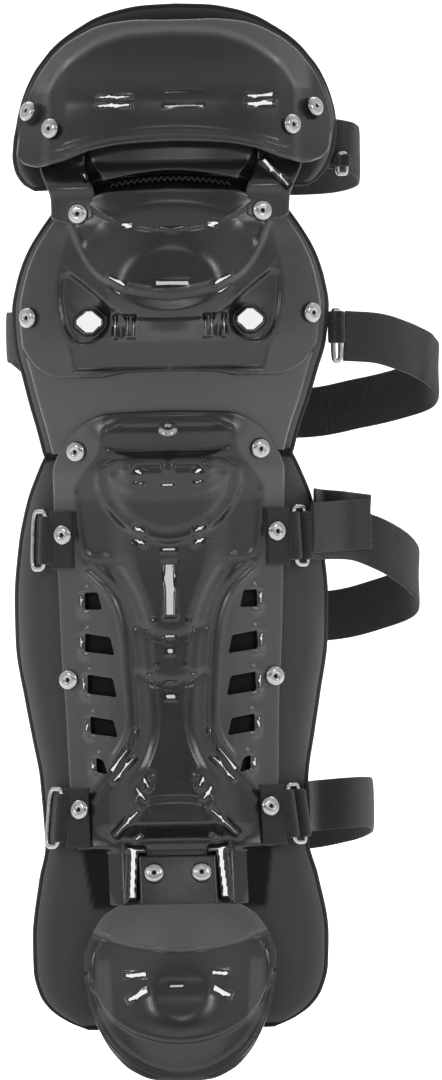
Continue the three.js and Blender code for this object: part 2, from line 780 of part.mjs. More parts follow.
// Rounded rectangle of wire about a middle point, flat to the given normal
function wireRing(middle, normal, halfWide, halfTall) {
  const steps = 16;
  const sides = 5;
  const squareness = 0.45;
  const up = new THREE.Vector3(0, 0, 1).addScaledVector(normal, -normal.z).normalize();
  const across = up.clone().cross(normal).normalize();
  const points = [];
  const path = [];
  for (let i = 0; i < steps; i++) {
    const angle = (2 * Math.PI * i) / steps;
    const cx = Math.cos(angle);
    const cz = Math.sin(angle);
    const px = Math.sign(cx) * Math.abs(cx) ** squareness * halfWide;
    const pz = Math.sign(cz) * Math.abs(cz) ** squareness * halfTall;
    path.push(middle.clone().addScaledVector(across, px).addScaledVector(up, pz));
  }
  path.forEach((point, i) => {
    const along = path[(i + 1) % steps].clone().sub(path[(i + steps - 1) % steps]).normalize();
    const outwards = along.clone().cross(normal).normalize();
    for (let k = 0; k < sides; k++) {
      const turn = (2 * Math.PI * k) / sides;
      const swing = point.clone().addScaledVector(outwards, WIRE * Math.cos(turn));
      points.push(swing.addScaledVector(normal, WIRE * Math.sin(turn)));
    }
  });
  const faces = [];
  for (let i = 0; i < steps; i++)
    for (let k = 0; k < sides; k++) {
      const a = i * sides + k;
      const b = i * sides + ((k + 1) % sides);
      const c = ((i + 1) % steps) * sides + ((k + 1) % sides);
      const d = ((i + 1) % steps) * sides + k;
      faces.push(a, c, b, a, d, c);
    }
  const geometry = new THREE.BufferGeometry().setFromPoints(points);
  geometry.setIndex(faces);
  return geometry;
}

const RING_HALF_TALL = 14.5;
const RING_HALF_WIDE = 4.2;
// Wire keepers beside the pads' bound edges, where the upper straps end
const KEEPERS = [
  { name: "keeper_knee_right", x: 83.4, y: 33, z: -18.5, wide: 1.8, tall: 12.8 },
  { name: "keeper_thigh_right", x: 87.8, y: 41.25, z: 68.5, wide: 2.2, tall: 5 },
];
const FORWARD = new THREE.Vector3(0, -1, 0);
function rings() {
  for (const tab of TABS)
    for (const [where, sign] of [["left", -1], ["right", 1]]) {
      const x = sign * (tab.outer + WIRE + RING_HALF_WIDE - GAP);
      const rise = tabUnder(sign * tab.outer, tab.z) + WEBBING / 2;
      add(
        "ring_" + tab.name + "_" + where,
        wireRing(layer(x, tab.z, rise), formNormal(x, tab.z), RING_HALF_WIDE, RING_HALF_TALL),
        "nickel",
      );
    }
  for (const keeper of KEEPERS) {
    const middle = new THREE.Vector3(keeper.x, keeper.y, keeper.z);
    add(keeper.name, wireRing(middle, FORWARD, keeper.wide, keeper.tall), "nickel");
  }
}

// Ribbon of webbing along a route of hand-set points, its width kept near upright
function ribbon(points, steps, width = WEBBING_WIDTH) {
  const route = new THREE.CatmullRomCurve3(points, false, "centripetal");
  const corners = [];
  for (let i = 0; i <= steps; i++) {
    const point = route.getPointAt(i / steps);
    const along = route.getTangentAt(i / steps);
    const up = new THREE.Vector3(0, 0, 1).addScaledVector(along, -along.z).normalize();
    const out = along.clone().cross(up).normalize();
    for (const [a, b] of [[-1, -1], [1, -1], [1, 1], [-1, 1]])
      corners.push(
        point
          .clone()
          .addScaledVector(up, (a * width) / 2)
          .addScaledVector(out, (b * WEBBING) / 2),
      );
  }
  const faces = [];
  const quad = (a, b, c, d) => faces.push(a, b, c, a, c, d);
  for (let i = 0; i < steps; i++)
    for (let k = 0; k < 4; k++) {
      const next = (k + 1) % 4;
      quad(4 * i + k, 4 * i + next, 4 * i + 4 + next, 4 * i + 4 + k);
    }
  quad(3, 2, 1, 0);
  const end = 4 * steps;
  quad(end, end + 1, end + 2, end + 3);
  const geometry = new THREE.BufferGeometry().setFromPoints(corners);
  geometry.setIndex(faces);
  return geometry;
}

// Strap routes, right end first. A row with an out value lies that far off the leg form,
// the others are free points round the back of the leg.
const STRAPS = [
  {
    name: "strap_thigh",
    route: [
      { x: 58, z: 79, out: -2.8 },
      { x: 70, z: 79, out: -2.8 },
      { x: 80.5, y: 41.5, z: 78.9 },
      { x: 88, y: 46, z: 78 },
      { x: 93.5, y: 50.5, z: 76.5 },
      { x: 96.4, y: 59, z: 73.8 },
      { x: 94, y: 74, z: 70.5 },
      { x: 80, y: 96, z: 68.5 },
      { x: 50, y: 114, z: 69 },
      { x: 0, y: 124, z: 71 },
      { x: -50, y: 112, z: 74 },
      { x: -68, y: 84, z: 75 },
      { x: -71, y: 62, z: 76 },
      { x: -71, y: 46, z: 76 },
      { x: -66, z: 76, out: -3.2 },
      { x: -53, z: 76, out: -3 },
    ],
  },
  {
    name: "strap_knee",
    route: [
      { x: 87.3, y: 35, z: -18.7 },
      { x: 104, y: 43, z: -20 },
      { x: 116, y: 51, z: -23.5 },
      { x: 125, y: 60, z: -27.2 },
      { x: 131, y: 67, z: -31 },
      { x: 134.6, y: 77, z: -36.5 },
      { x: 130, y: 90, z: -42.5 },
      { x: 117, y: 98, z: -47 },
      { x: 96, y: 106, z: -51.5 },
      { x: 62, y: 114, z: -56 },
      { x: 0, y: 122, z: -50 },
      { x: -58, y: 106, z: -32 },
      { x: -76, y: 82, z: -20 },
      { x: -81.6, y: 60, z: -16 },
      { x: -82.2, y: 50, z: -16 },
      { x: -76, z: -16, out: -2.8 },
      { x: -62, z: -16, out: -2.8 },
    ],
  },
  {
    name: "strap_calf",
    route: [
      { x: 71.4, z: -118.5, out: 12.8 },
      { x: 76, z: -118.5, out: 12 },
      { x: 91, y: 38, z: -119.5 },
      { x: 107, y: 48, z: -126 },
      { x: 118, y: 59, z: -134 },
      { x: 122.4, y: 71, z: -142 },
      { x: 118, y: 84, z: -149 },
      { x: 104, y: 93, z: -154.5 },
      { x: 80, y: 100, z: -160 },
      { x: 40, y: 110, z: -161 },
      { x: 0, y: 112, z: -154 },
      { x: -50, y: 98, z: -138 },
      { x: -73, y: 68, z: -127 },
      { x: -76, y: 50, z: -122 },
      { x: -72, z: -121, out: -2.8 },
      { x: -58, z: -121, out: -2.8 },
    ],
  },
  {
    name: "strap_ankle",
    route: [
      { x: 66.4, z: -255, out: 11.6 },
      { x: 71, z: -255, out: 11.6 },
      { x: 84, y: 29, z: -254 },
      { x: 93, y: 38, z: -254 },
      { x: 97, y: 52, z: -255.3 },
      { x: 95, y: 68, z: -258.5 },
      { x: 83, y: 82, z: -263 },
      { x: 56, y: 92, z: -267 },
      { x: 0, y: 98, z: -266 },
      { x: -44, y: 86, z: -262 },
      { x: -64, y: 58, z: -258 },
      { x: -65, y: 42, z: -257 },
      { x: -61, z: -257, out: -2.8 },
      { x: -50, z: -257, out: -2.8 },
    ],
  },
];
const routePoint = (row) =>
  "out" in row ? layer(row.x, row.z, row.out) : new THREE.Vector3(row.x, row.y, row.z);
function straps() {
  const steps = 27;
  for (const strap of STRAPS)
    add(strap.name, ribbon(strap.route.map(routePoint), steps), "webbing");
}

pads();
thighPlates();
kneePlates();
shinPlate();
footPlates();
tabs();
rivets();
rings();
straps();

export default guard;
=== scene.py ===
"""Baseball catcher leg guard: the finished surfaces of its pads, plates, rivets and straps.

All tables are in millimetres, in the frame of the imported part: +Z up the leg, -Y forward.
"""

import functools
import math

import bmesh
import bpy
import numpy as np
from bpy.props import FloatProperty, FloatVectorProperty, PointerProperty
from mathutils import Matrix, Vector


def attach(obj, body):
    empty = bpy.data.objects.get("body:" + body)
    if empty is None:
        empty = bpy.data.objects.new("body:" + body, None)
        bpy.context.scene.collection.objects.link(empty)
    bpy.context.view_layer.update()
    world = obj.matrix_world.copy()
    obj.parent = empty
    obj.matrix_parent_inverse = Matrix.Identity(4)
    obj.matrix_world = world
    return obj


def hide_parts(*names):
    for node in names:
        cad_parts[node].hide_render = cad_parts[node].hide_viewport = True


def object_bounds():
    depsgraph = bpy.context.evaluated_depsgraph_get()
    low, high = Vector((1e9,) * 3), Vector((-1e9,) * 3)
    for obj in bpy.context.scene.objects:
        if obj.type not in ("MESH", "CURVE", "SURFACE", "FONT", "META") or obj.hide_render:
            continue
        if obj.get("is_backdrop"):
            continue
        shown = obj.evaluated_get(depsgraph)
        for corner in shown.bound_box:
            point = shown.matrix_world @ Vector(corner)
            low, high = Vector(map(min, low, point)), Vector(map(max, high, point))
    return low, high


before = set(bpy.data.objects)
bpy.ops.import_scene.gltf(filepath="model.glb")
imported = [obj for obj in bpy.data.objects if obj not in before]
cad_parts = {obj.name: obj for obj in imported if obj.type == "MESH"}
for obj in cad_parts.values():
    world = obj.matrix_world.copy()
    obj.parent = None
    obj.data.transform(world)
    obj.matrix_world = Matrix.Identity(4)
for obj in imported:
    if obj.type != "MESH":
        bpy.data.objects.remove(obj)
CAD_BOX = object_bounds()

bl_info = {
    "name": "Catcher leg guard",
    "version": (1, 0, 0),
    "blender": (4, 5, 0),
    "location": "3D View > Sidebar > Leg guard",
    "description": "Builds a padded catcher leg guard with moulded plates and straps",
    "category": "Object",
}

MM = 0.001
BODY = "root"

# Sizes shared with the part's solids
PAD = 8.0
PAD_EDGE = 3.6
GAP = 0.35
PLATE = 2.6
LINK = 2.4
SECTION_POWER = 2.5
WEBBING_WIDTH = 25.4
WEBBING = 1.8
WIRE = 1.6
RIVET_RADIUS = 5.2

# Usual grid pitch in metres, insets of a rim's grid lines in millimetres, points round a
# binding, and a direction that no ring's wire runs along
PITCH = 0.0007
BORDER_POINTS = 1100
RIM_INSETS = (0.0, 0.08, 0.3, 0.7, 1.3)
WIRE_GUIDE = (0.13, -0.97, 0.21)

# Camera and picture frame
PHOTO_WIDTH = 442.0
PHOTO_HEIGHT = 1080.0
MM_PER_PIXEL = 0.5
ORIGIN_PIXEL = (170.0, 300.0)
CAMERA_DISTANCE = 4.0
CAMERA_ROLL = math.radians(1.1)

# Columns: height, half width, depth, front line, side drift
LEG_FORM = np.array([
    (152, 88.5, 56, 24, 3.0),
    (120, 87, 56, 13, 3.0),
    (90, 86, 57, 5, 2.6),
    (60, 84, 60, 1, 1.4),
    (30, 80, 62, 0, 0.6),
    (0, 83, 62, 0, 0.0),
    (-40, 79, 58, 2, -1.2),
    (-77, 72, 53, 6, -2.4),
    (-140, 81, 56, 9, -2.4),
    (-190, 78, 54, 9, -2.8),
    (-240, 71, 49, 6, -2.6),
    (-280, 72, 45, 0, -1.6),
    (-315, 77, 42, -10, -0.8),
    (-350, 77, 40, -24, -1.2),
    (-392, 74, 36, -42, -0.8),
    (-415, 74, 36, -52, -0.8),
], float)


def curve(rows, column=1):
    """Monotone cubic through a table's rows: each slope is the harmonic mean of the rises
    beside it, or nought where they turn back."""
    table = np.array(sorted(rows, key=lambda row: row[0]), float)
    xs, ys = table[:, 0], table[:, column]
    rise = np.diff(ys) / np.diff(xs)
    product = rise[:-1] * rise[1:]
    total = rise[:-1] + rise[1:]
    inner = np.where(product > 0, 2 * product / np.where(total == 0, 1, total), 0)
    slope = np.concatenate([rise[:1], inner, rise[-1:]])

    def value(x):
        x = np.clip(np.asarray(x, float), xs[0], xs[-1])
        i = np.clip(np.searchsorted(xs, x, side="right") - 1, 0, len(xs) - 2)
        span = xs[i + 1] - xs[i]
        t = (x - xs[i]) / span
        t2, t3 = t * t, t * t * t
        return (
            (2 * t3 - 3 * t2 + 1) * ys[i]
            + (t3 - 2 * t2 + t) * span * slope[i]
            + (3 * t2 - 2 * t3) * ys[i + 1]
            + (t3 - t2) * span * slope[i + 1]
        )

    return value


leg_half = curve(LEG_FORM, 1)
leg_depth = curve(LEG_FORM, 2)
leg_front = curve(LEG_FORM, 3)
leg_drift = curve(LEG_FORM, 4)


def smooth(t):
    """Rises from 0 to 1 as t does, level at both ends."""
    s = np.clip(t, 0, 1)
    return s * s * (3 - 2 * s)


def past(t, start, fade):
    """0 up to the start, 1 from a fade beyond it."""
    return smooth((t - start) / fade)


def until(t, end, fade):
    """1 up to a fade before the end, 0 from the end on."""
    return smooth((end - t) / fade)


def band(t, start, end, fade):
    """1 between a start and an end, 0 outside them, with the fades inside."""
    return past(t, start, fade) * until(t, end, fade)


def mix(a, b, t):
    return a + (b - a) * t


def hill(x, width):
    """Bell of height 1 about nought."""
    return np.exp(-((x / width) ** 2))


def within(d, width):
    """1 inside an edge, 0 outside it, with a ramp of the given width centred on it."""
    return smooth(0.5 - d / width)


def unit(vectors):
    return vectors / np.linalg.norm(vectors, axis=-1, keepdims=True)


def level(value):
    """Function of any place that is the same everywhere."""
    return lambda *place: value + 0 * place[0]


def even(rule):
    """Function of the share across that is alike on both sides."""
    return lambda u: rule(np.abs(u))


def form_point(x, z):
    """Leg form: a superellipse round the leg at each height, moved to the front line."""
    r = np.minimum(0.985, np.abs(x) / leg_half(z))
    back = 1 - (1 - r**SECTION_POWER) ** (1 / SECTION_POWER)
    return np.stack([x + leg_drift(z), leg_front(z) + leg_depth(z) * back, z + 0 * x], -1)


def form_normal(x, z):
    """Cross product of the differences half a millimetre either way."""
    step = 0.5
    across = form_point(x + step, z) - form_point(x - step, z)
    up = form_point(x, z + step) - form_point(x, z - step)
    return unit(np.cross(across, up))


def layer(x, z, distance):
    """Point a distance off the leg form that shows at x, z from the front: the foot of its
    normal is found by eased steps."""
    x, z, distance = np.broadcast_arrays(*(np.asarray(v, float) for v in (x, z, distance)))
    fx, fz = x.copy(), z.copy()
    ease, rounds = 0.7, 14
    for _ in range(rounds):
        n = form_normal(fx, fz)
        drift = leg_drift(fz) - leg_drift(z)
        fx = fx + ease * (x - drift - n[..., 0] * distance - fx)
        fz = fz + ease * (z - n[..., 2] * distance - fz)
    return form_point(fx, fz) + form_normal(fx, fz) * distance[..., None]


def line_distance(x, z, points):
    """Distance to an open line of straight stretches."""
    best = np.full(np.shape(x), np.inf)
    for (ax, az), (bx, bz) in zip(points[:-1], points[1:]):
        ex, ez = bx - ax, bz - az
        t = np.clip(((x - ax) * ex + (z - az) * ez) / (ex * ex + ez * ez), 0, 1)
        best = np.minimum(best, np.hypot(x - ax - t * ex, z - az - t * ez))
    return best


def edge_distance(x, z, points):
    """Signed distance to a closed outline, below nought inside, where a ray to the right
    crosses it an odd number of times."""
    closed = [*points, points[0]]
    inside = np.zeros(np.shape(x), bool)
    for (ax, az), (bx, bz) in zip(closed[:-1], closed[1:]):
        crosses = (az > z) != (bz > z)
        rise = 1 if bz == az else bz - az
        inside ^= crosses & (x < (bx - ax) * (z - az) / rise + ax)
    d = line_distance(x, z, closed)
    return np.where(inside, -d, d)


def side_of(x, z, line):
    """Distance to a line that runs from the side down to the middle: above nought under it."""
    d = line_distance(x, z, line)
    xs, zs = np.array(line)[::-1].T
    return np.where(z < np.interp(x, xs, zs), d, -d)


def rounded(points, closed=False, rounds=3):
    """Cuts each corner at a quarter and three quarters of its sides, some times over."""
    p = np.array(points, float)
    for _ in range(rounds):
        after = np.roll(p, -1, 0) if closed else p[1:]
        here = p if closed else p[:-1]
        cut = np.stack([0.75 * here + 0.25 * after, 0.25 * here + 0.75 * after], 1)
        cut = cut.reshape(-1, 2)
        p = cut if closed else np.concatenate([p[:1], cut, p[-1:]])
    return [tuple(q) for q in p]


def mirrored(half):
    """Closed outline from its right half, which starts and ends on the middle line."""
    return rounded(half + [(-x, z) for x, z in reversed(half[1:-1])], closed=True)


# Polished lands


def lit_turn(cz, side):
    """Azimuth and elevation in degrees at which a flat at height cz shows a light box to
    the front: a side box (side -1 or 1), or the middle one (side 0)."""
    if side == 0:
        return 1.0, 10.1 - 0.0156 * cz
    return 17.0 * side, 8.05 - 0.0222 * cz


def flat_share(x, z, flat):
    """1 inside one flat, 0 outside it."""
    cx, cz, long, tall, tilt, _ = flat
    dx, dz = x - cx, z - cz
    c, w = math.cos(math.radians(tilt)), math.sin(math.radians(tilt))
    out = np.maximum(np.abs(dx * c + dz * w) - long, np.abs(dz * c - dx * w) - tall)
    return until(out, 1.0, 1.0)


def polished(flats, also=None):
    """Where a sheet is polished: on its flats, and where the function `also` says so."""

    def share(x, z):
        parts = [flat_share(x, z, flat) for flat in flats]
        if also is not None:
            parts.append(also(x, z))
        return np.max(parts, axis=0)

    return share


def bent_plane(dx, dz, height, a, b, p, q):
    """Height with slopes a, b and bends p, q at a distance dx, dz from its middle."""
    return height + a * dx + b * dz + (p * dx * dx + q * dz * dz) / 2


@functools.lru_cache(maxsize=None)
def flat_plane(height, cx, cz, side):
    """Slopes and bends of the bent plane over the form that is flat in space and turned as
    lit_turn says. Found in a few steps from the sheet's measured direction, at the middle
    for the slopes and a little to each side for the bends."""
    want = np.radians(lit_turn(cz, side))
    a = b = p = q = 0.0
    half, apart, ease = 0.5, 2, 1.1

    def turned(x, z):
        dx = x - cx + half * np.array([1, -1, 0, 0])
        dz = z - cz + half * np.array([0, 0, 1, -1])
        lift = bent_plane(dx, dz, height, a, b, p, q)
        at = layer(cx + dx, cz + dz, PAD + PLATE + lift)
        n = unit(np.cross(at[0] - at[1], at[2] - at[3]))
        return np.array([math.atan2(n[0], -n[1]), math.asin(n[2])])

    for step in range(3):
        off = want - turned(cx, cz)
        a, b = a - ease * off[0], b - off[1]
        if step == 0:
            p = ease * (turned(cx + apart, cz) - turned(cx - apart, cz))[0] / (2 * apart)
            q = (turned(cx, cz + apart) - turned(cx, cz - apart))[1] / (2 * apart)
    return a, b, p, q


def with_flats(relief, x, z, flats):
    """Relief with small flats set into it, the mould's polished lands. Each keeps the
    relief's height at its middle. Columns: middle x, middle z, half length, half height,
    tilt in degrees, side."""
    body = relief(x, z)
    for flat in flats:
        cx, cz, side = flat[0], flat[1], flat[5]
        height = float(relief(np.array([cx]), np.array([cz]))[0])
        plane = bent_plane(x - cx, z - cz, height, *flat_plane(height, cx, cz, side))
        body = mix(body, plane, flat_share(x, z, flat))
    return body


def lands(form, flats):
    """The form with its flats, as a function of place."""
    return lambda x, z: with_flats(form, x, z, flats)


def mirrored_flats(*rows):
    """Rows for the right side, each repeated on the left."""
    return [row for cx, cz, long, tall, tilt in rows
            for row in ((cx, cz, long, tall, tilt, 1), (-cx, cz, long, tall, -tilt, -1))]


# Meshes from grids


def mesh_object(name, points, faces, material, uv=None):
    """Smooth object at the origin from points in millimetres and rows of corner indices."""
    mesh = bpy.data.meshes.new(name)
    points = np.asarray(points, float).reshape(-1, 3) * MM
    faces = np.asarray(faces, np.int32)
    corners = faces.shape[1]
    mesh.vertices.add(len(points))
    mesh.vertices.foreach_set("co", points.astype(np.float32).ravel())
    mesh.loops.add(faces.size)
    mesh.loops.foreach_set("vertex_index", faces.ravel())
    mesh.polygons.add(len(faces))
    mesh.polygons.foreach_set("loop_start", np.arange(0, faces.size, corners, dtype=np.int32))
    mesh.polygons.foreach_set("loop_total", np.full(len(faces), corners, np.int32))
    mesh.polygons.foreach_set("use_smooth", np.ones(len(faces), bool))
    if uv is not None:
        uv = np.asarray(uv, np.float32).reshape(-1, 2)
        mesh.uv_layers.new(name="UVMap").data.foreach_set("uv", uv[faces.ravel()].ravel())
    mesh.update(calc_edges=True)
    mesh.validate()
    made = bpy.data.objects.new(name, mesh)
    bpy.context.scene.collection.objects.link(made)
    made.data.materials.append(material)
    return made


def mark(made, name, values):
    """Gives each point of a piece a number that its material reads."""
    attribute = made.data.attributes.new(name, "FLOAT", "POINT")
    attribute.data.foreach_set("value", np.asarray(values, np.float32).ravel())


def point_array(mesh, key="co"):
    """Positions, or another vector of each point, as rows."""
    values = np.empty(len(mesh.vertices) * 3, np.float32)
    mesh.vertices.foreach_get(key, values)
    return values.reshape(-1, 3)


def solid_points(node):
    """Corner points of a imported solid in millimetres, each once."""
    points = point_array(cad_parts[node].data).astype(float)
    return np.unique(np.round(points / MM, 4), axis=0)


def finish_piece(made, slot, *nodes):
    """Rides on the body and stands for its CAD nodes. The slot is not used."""
    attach(made, BODY)
    if nodes:
        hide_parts(*nodes)
    return made


def grid_faces(rows, columns, wrap_rows=False, wrap_columns=False, flip=False):
    """Quads between neighbouring points of a grid stored row by row."""
    i = np.arange(rows if wrap_rows else rows - 1)
    j = np.arange(columns if wrap_columns else columns - 1)
    a, b = np.meshgrid(i, j, indexing="ij")
    c, d = (a + 1) % rows, (b + 1) % columns
    quads = np.stack([a * columns + b, a * columns + d, c * columns + d, c * columns + b], -1)
    quads = quads.reshape(-1, 4)
    return quads[:, ::-1] if flip else quads


def grid_uv(across, along):
    """UV in millimetres for a grid: the first runs over its columns, the second its rows."""
    return np.stack(np.broadcast_arrays(across[None, :], along[:, None]), -1)


def spaced(length, pitch, insets):
    """Shares from 0 to 1 along a length: even in the middle, with set insets at the ends."""
    insets = np.array(insets, float) / length
    count = max(4, int(round((1 - 2 * insets[-1]) * length / pitch)))
    middle = np.linspace(insets[-1], 1 - insets[-1], count + 1)[1:-1]
    return np.concatenate([insets, middle, 1 - insets[::-1]])


class Outline:
    """A piece's outline on the leg form: half width by height, and top and bottom by the
    share across."""

    def __init__(self, side, top, bottom, centre=level(0), bow=0.5):
        self.side, self.top, self.bottom = side, top, bottom
        self.centre, self.bow = centre, bow

    def place(self, across, up):
        """Height is mixed from bottom to top, then the half width there is shared out."""
        u = np.sin((2 * across - 1) * self.bow) / np.sin(self.bow)
        z = mix(self.bottom(u), self.top(u), up)
        return self.centre(z) + u * self.side(z), z

    def border(self, count):
        """Closed run of points round the outline, evenly spaced, anticlockwise from the
        front, and its length."""
        t = np.linspace(0, 1, 400, endpoint=False)
        one, nil = np.ones_like(t), np.zeros_like(t)
        across = np.concatenate([t, one, 1 - t, nil])
        up = np.concatenate([nil, t, one, 1 - t])
        x, z = self.place(across, up)
        length = np.hypot(np.diff(x, append=x[0]), np.diff(z, append=z[0]))
        run = np.concatenate([[0], np.cumsum(length)])
        x, z = np.append(x, x[0]), np.append(z, z[0])
        at = np.linspace(0, run[-1], count, endpoint=False)
        return np.interp(at, run, x), np.interp(at, run, z), run[-1]


def shell_mesh(name, outline, under, wall, pitch, material, size, rim=RIM_INSETS, **marks):
    """Closed plate: a front and a back grid that meet in a half-round rim. The distance off
    the form is the middle of the wall, plus or minus the wall's half, which falls away at
    the rim as a quarter circle. The wall is a number or a function of place; each mark is a
    function whose values the front's points carry. The pitch is in millimetres at the
    user's usual fineness."""
    pitch = pitch * round(detail().pitch / PITCH, 4)
    s, t = (spaced(length, pitch, rim) for length in size)
    across, up = np.meshgrid(s, t, indexing="xy")
    x, z = outline.place(across, up)
    reach = rim[-1]
    near_side = np.minimum(np.minimum(s, 1 - s) * size[0], reach)[None, :]
    near_end = np.minimum(np.minimum(t, 1 - t) * size[1], reach)[:, None]
    near = np.minimum(near_side, near_end) / reach
    swell = np.sqrt(np.clip(1 - (1 - near) ** 2, 0, 1))
    half = (wall(x, z) if callable(wall) else wall) / 2
    middle = under(x, z) + half
    front = layer(x, z, middle + half * swell)
    back = layer(x, z, middle - half * swell)
    inner = np.zeros(x.shape, bool)
    inner[1:-1, 1:-1] = True
    back_index = np.arange(x.size).reshape(x.shape)
    back_index[inner] = x.size + np.arange(inner.sum())
    points = np.concatenate([front.reshape(-1, 3), back[inner]])
    faces = grid_faces(*x.shape)
    back_faces = back_index.ravel()[faces][:, ::-1]
    made = mesh_object(name, points, np.concatenate([faces, back_faces]), material)
    for key, share in marks.items():
        mark(made, key, np.append(share(x, z), np.zeros(inner.sum())))
    return made


def mould(node, outline, under, wall, pitch, size, paint="gloss", name=None, **marks):
    """Builds one moulded sheet and puts it in its node's place."""
    made = shell_mesh((name or node) + "_moulding", outline, under, wall, pitch,
                      paints()[paint], size, **marks)
    finish_piece(made, "soft_plastic" if paint == "soft" else "gloss_plastic", node)


def rings(centres, side, out, radii, count):
    """A circle of points round each centre, in the plane of the directions side and out."""
    turn = np.linspace(0, 2 * np.pi, count, endpoint=False)[:, None]
    circle = side[..., None, :] * np.cos(turn) + out[..., None, :] * np.sin(turn)
    return centres[..., None, :] + np.asarray(radii)[..., None, None] * circle


def round_mesh(name, centres, side, out, radii, count, material, uv=None, closed=False):
    """Skin over the circles round a row of centres, which may close on itself."""
    points = rings(centres, side, out, radii, count)
    faces = grid_faces(len(centres), count, wrap_rows=closed, wrap_columns=True)
    made = mesh_object(name, points, faces, material, uv)
    return made if closed else close_ends(made)


def close_ends(made):
    """Fills the open ends and turns all faces outwards."""
    work = bmesh.new()
    work.from_mesh(made.data)
    bmesh.ops.holes_fill(work, edges=[e for e in work.edges if e.is_boundary], sides=0)
    bmesh.ops.recalc_face_normals(work, faces=work.faces)
    work.to_mesh(made.data)
    work.free()
    return made


def even_path(points, count):
    """Catmull-Rom curve through given points, cut into even steps, and its length."""
    p = np.asarray(points, float)
    ends = np.concatenate([[2 * p[0] - p[1]], p, [2 * p[-1] - p[-2]]])
    t = np.linspace(0, 1, 60, endpoint=False)[:, None]
    pieces = []
    for a, b, c, d in zip(ends, ends[1:], ends[2:], ends[3:]):
        square = (2 * a - 5 * b + 4 * c - d) * t**2
        pieces.append(0.5 * (2 * b + (c - a) * t + square + (3 * b - a - 3 * c + d) * t**3))
    fine = np.concatenate(pieces + [p[-1:]])
    run = np.concatenate([[0], np.cumsum(np.linalg.norm(np.diff(fine, axis=0), axis=1))])
    at = np.linspace(0, run[-1], count)
    return np.stack([np.interp(at, run, fine[:, k]) for k in range(3)], 1), run[-1]


# Materials

RANGE_SOCKETS = ("From Min", "From Max", "To Min", "To Max")


class Paint:
    """Short hand for building one procedural material."""

    def __init__(self, name):
        self.material = bpy.data.materials.new(name)
        self.material.use_nodes = True
        self.tree = self.material.node_tree
        self.tree.nodes.clear()
        self.shader = self.add("ShaderNodeBsdfPrincipled")
        output = self.add("ShaderNodeOutputMaterial")
        self.join(self.shader.outputs[0], output.inputs[0])
        self.coords = self.add("ShaderNodeTexCoord")

    def add(self, kind, **values):
        node = self.tree.nodes.new(kind)
        for key, value in values.items():
            setattr(node, key, value)
        return node

    def join(self, start, end):
        self.tree.links.new(start, end)

    def set(self, **values):
        for key, value in values.items():
            self.shader.inputs[key.replace("_", " ")].default_value = value

    def noise(self, scale, detail=3.0, rough=0.5):
        node = self.add("ShaderNodeTexNoise")
        node.inputs["Scale"].default_value = scale
        node.inputs["Detail"].default_value = detail
        node.inputs["Roughness"].default_value = rough
        self.join(self.coords.outputs["Object"], node.inputs["Vector"])
        return node.outputs["Fac"]

    def spread(self, value, low, high, start=0.0, end=1.0):
        node = self.add("ShaderNodeMapRange")
        for key, number in zip(RANGE_SOCKETS, (start, end, low, high)):
            node.inputs[key].default_value = number
        self.join(value, node.inputs["Value"])
        return node.outputs[0]

    def math(self, operation, a, b=None):
        node = self.add("ShaderNodeMath", operation=operation)
        for socket, value in zip(node.inputs, (a, b)):
            if isinstance(value, (int, float)):
                socket.default_value = value
            elif value is not None:
                self.join(value, socket)
        return node.outputs[0]

    def colour(self, value, dark, light):
        node = self.add("ShaderNodeMix", data_type="RGBA")
        self.join(value, node.inputs["Factor"])
        node.inputs["A"].default_value = (*dark, 1)
        node.inputs["B"].default_value = (*light, 1)
        self.join(node.outputs["Result"], self.shader.inputs["Base Color"])

    def bump(self, *layers):
        """Each layer is a height and its depth in metres; one bump node feeds the next."""
        last = None
        for height, depth in layers:
            node = self.add("ShaderNodeBump")
            node.inputs["Strength"].default_value = 1.0
            node.inputs["Distance"].default_value = depth
            self.join(height, node.inputs["Height"])
            if last is not None:
                self.join(last, node.inputs["Normal"])
            last = node.outputs[0]
        self.join(last, self.shader.inputs["Normal"])

    def given(self, name):
        """The number that each point of the piece carries under this name."""
        return self.add("ShaderNodeAttribute", attribute_name=name).outputs["Fac"]

    def uv_axis(self, axis, scale=1.0):
        split = self.add("ShaderNodeSeparateXYZ")
        self.join(self.coords.outputs["UV"], split.inputs[0])
        return self.math("MULTIPLY", split.outputs[axis], scale)


def gloss_plastic(name, tone, roughness):
    """Injection-moulded black plastic: slight flow marks and wear. Where the attribute
    "land" is 1 the mould was polished; where "grain" is 1 the colour is a lighter grey,
    a painted sheen that stands in for light on faces turned to the lamps and backdrop."""
    paint = Paint(name)
    flow = paint.noise(9.0, 4.0)
    painted_sheen_gain = 7.0
    # Painted sheen: the base colour rises towards a lighter grey where "grain" is 1
    flow_and_painted_sheen = paint.math("MULTIPLY", paint.spread(flow, 0.85, 1.15),
                      paint.spread(paint.given("grain"), 0.14, 1.0))
    paint.colour(flow_and_painted_sheen, (0, 0, 0), [c * painted_sheen_gain for c in tone])
    wear = paint.noise(60.0, 6.0, 0.65)
    dull = paint.spread(wear, roughness * 0.85, roughness * 1.25, 0.3, 0.8)
    paint.join(paint.math("MULTIPLY", dull, paint.spread(paint.given("land"), 1.0, 0.25)),
               paint.shader.inputs["Roughness"])
    paint.bump((paint.noise(220.0, 2.0), 0.00003), (paint.noise(1400.0, 2.0), 0.000004))
    paint.set(IOR=1.5)
    return paint.material


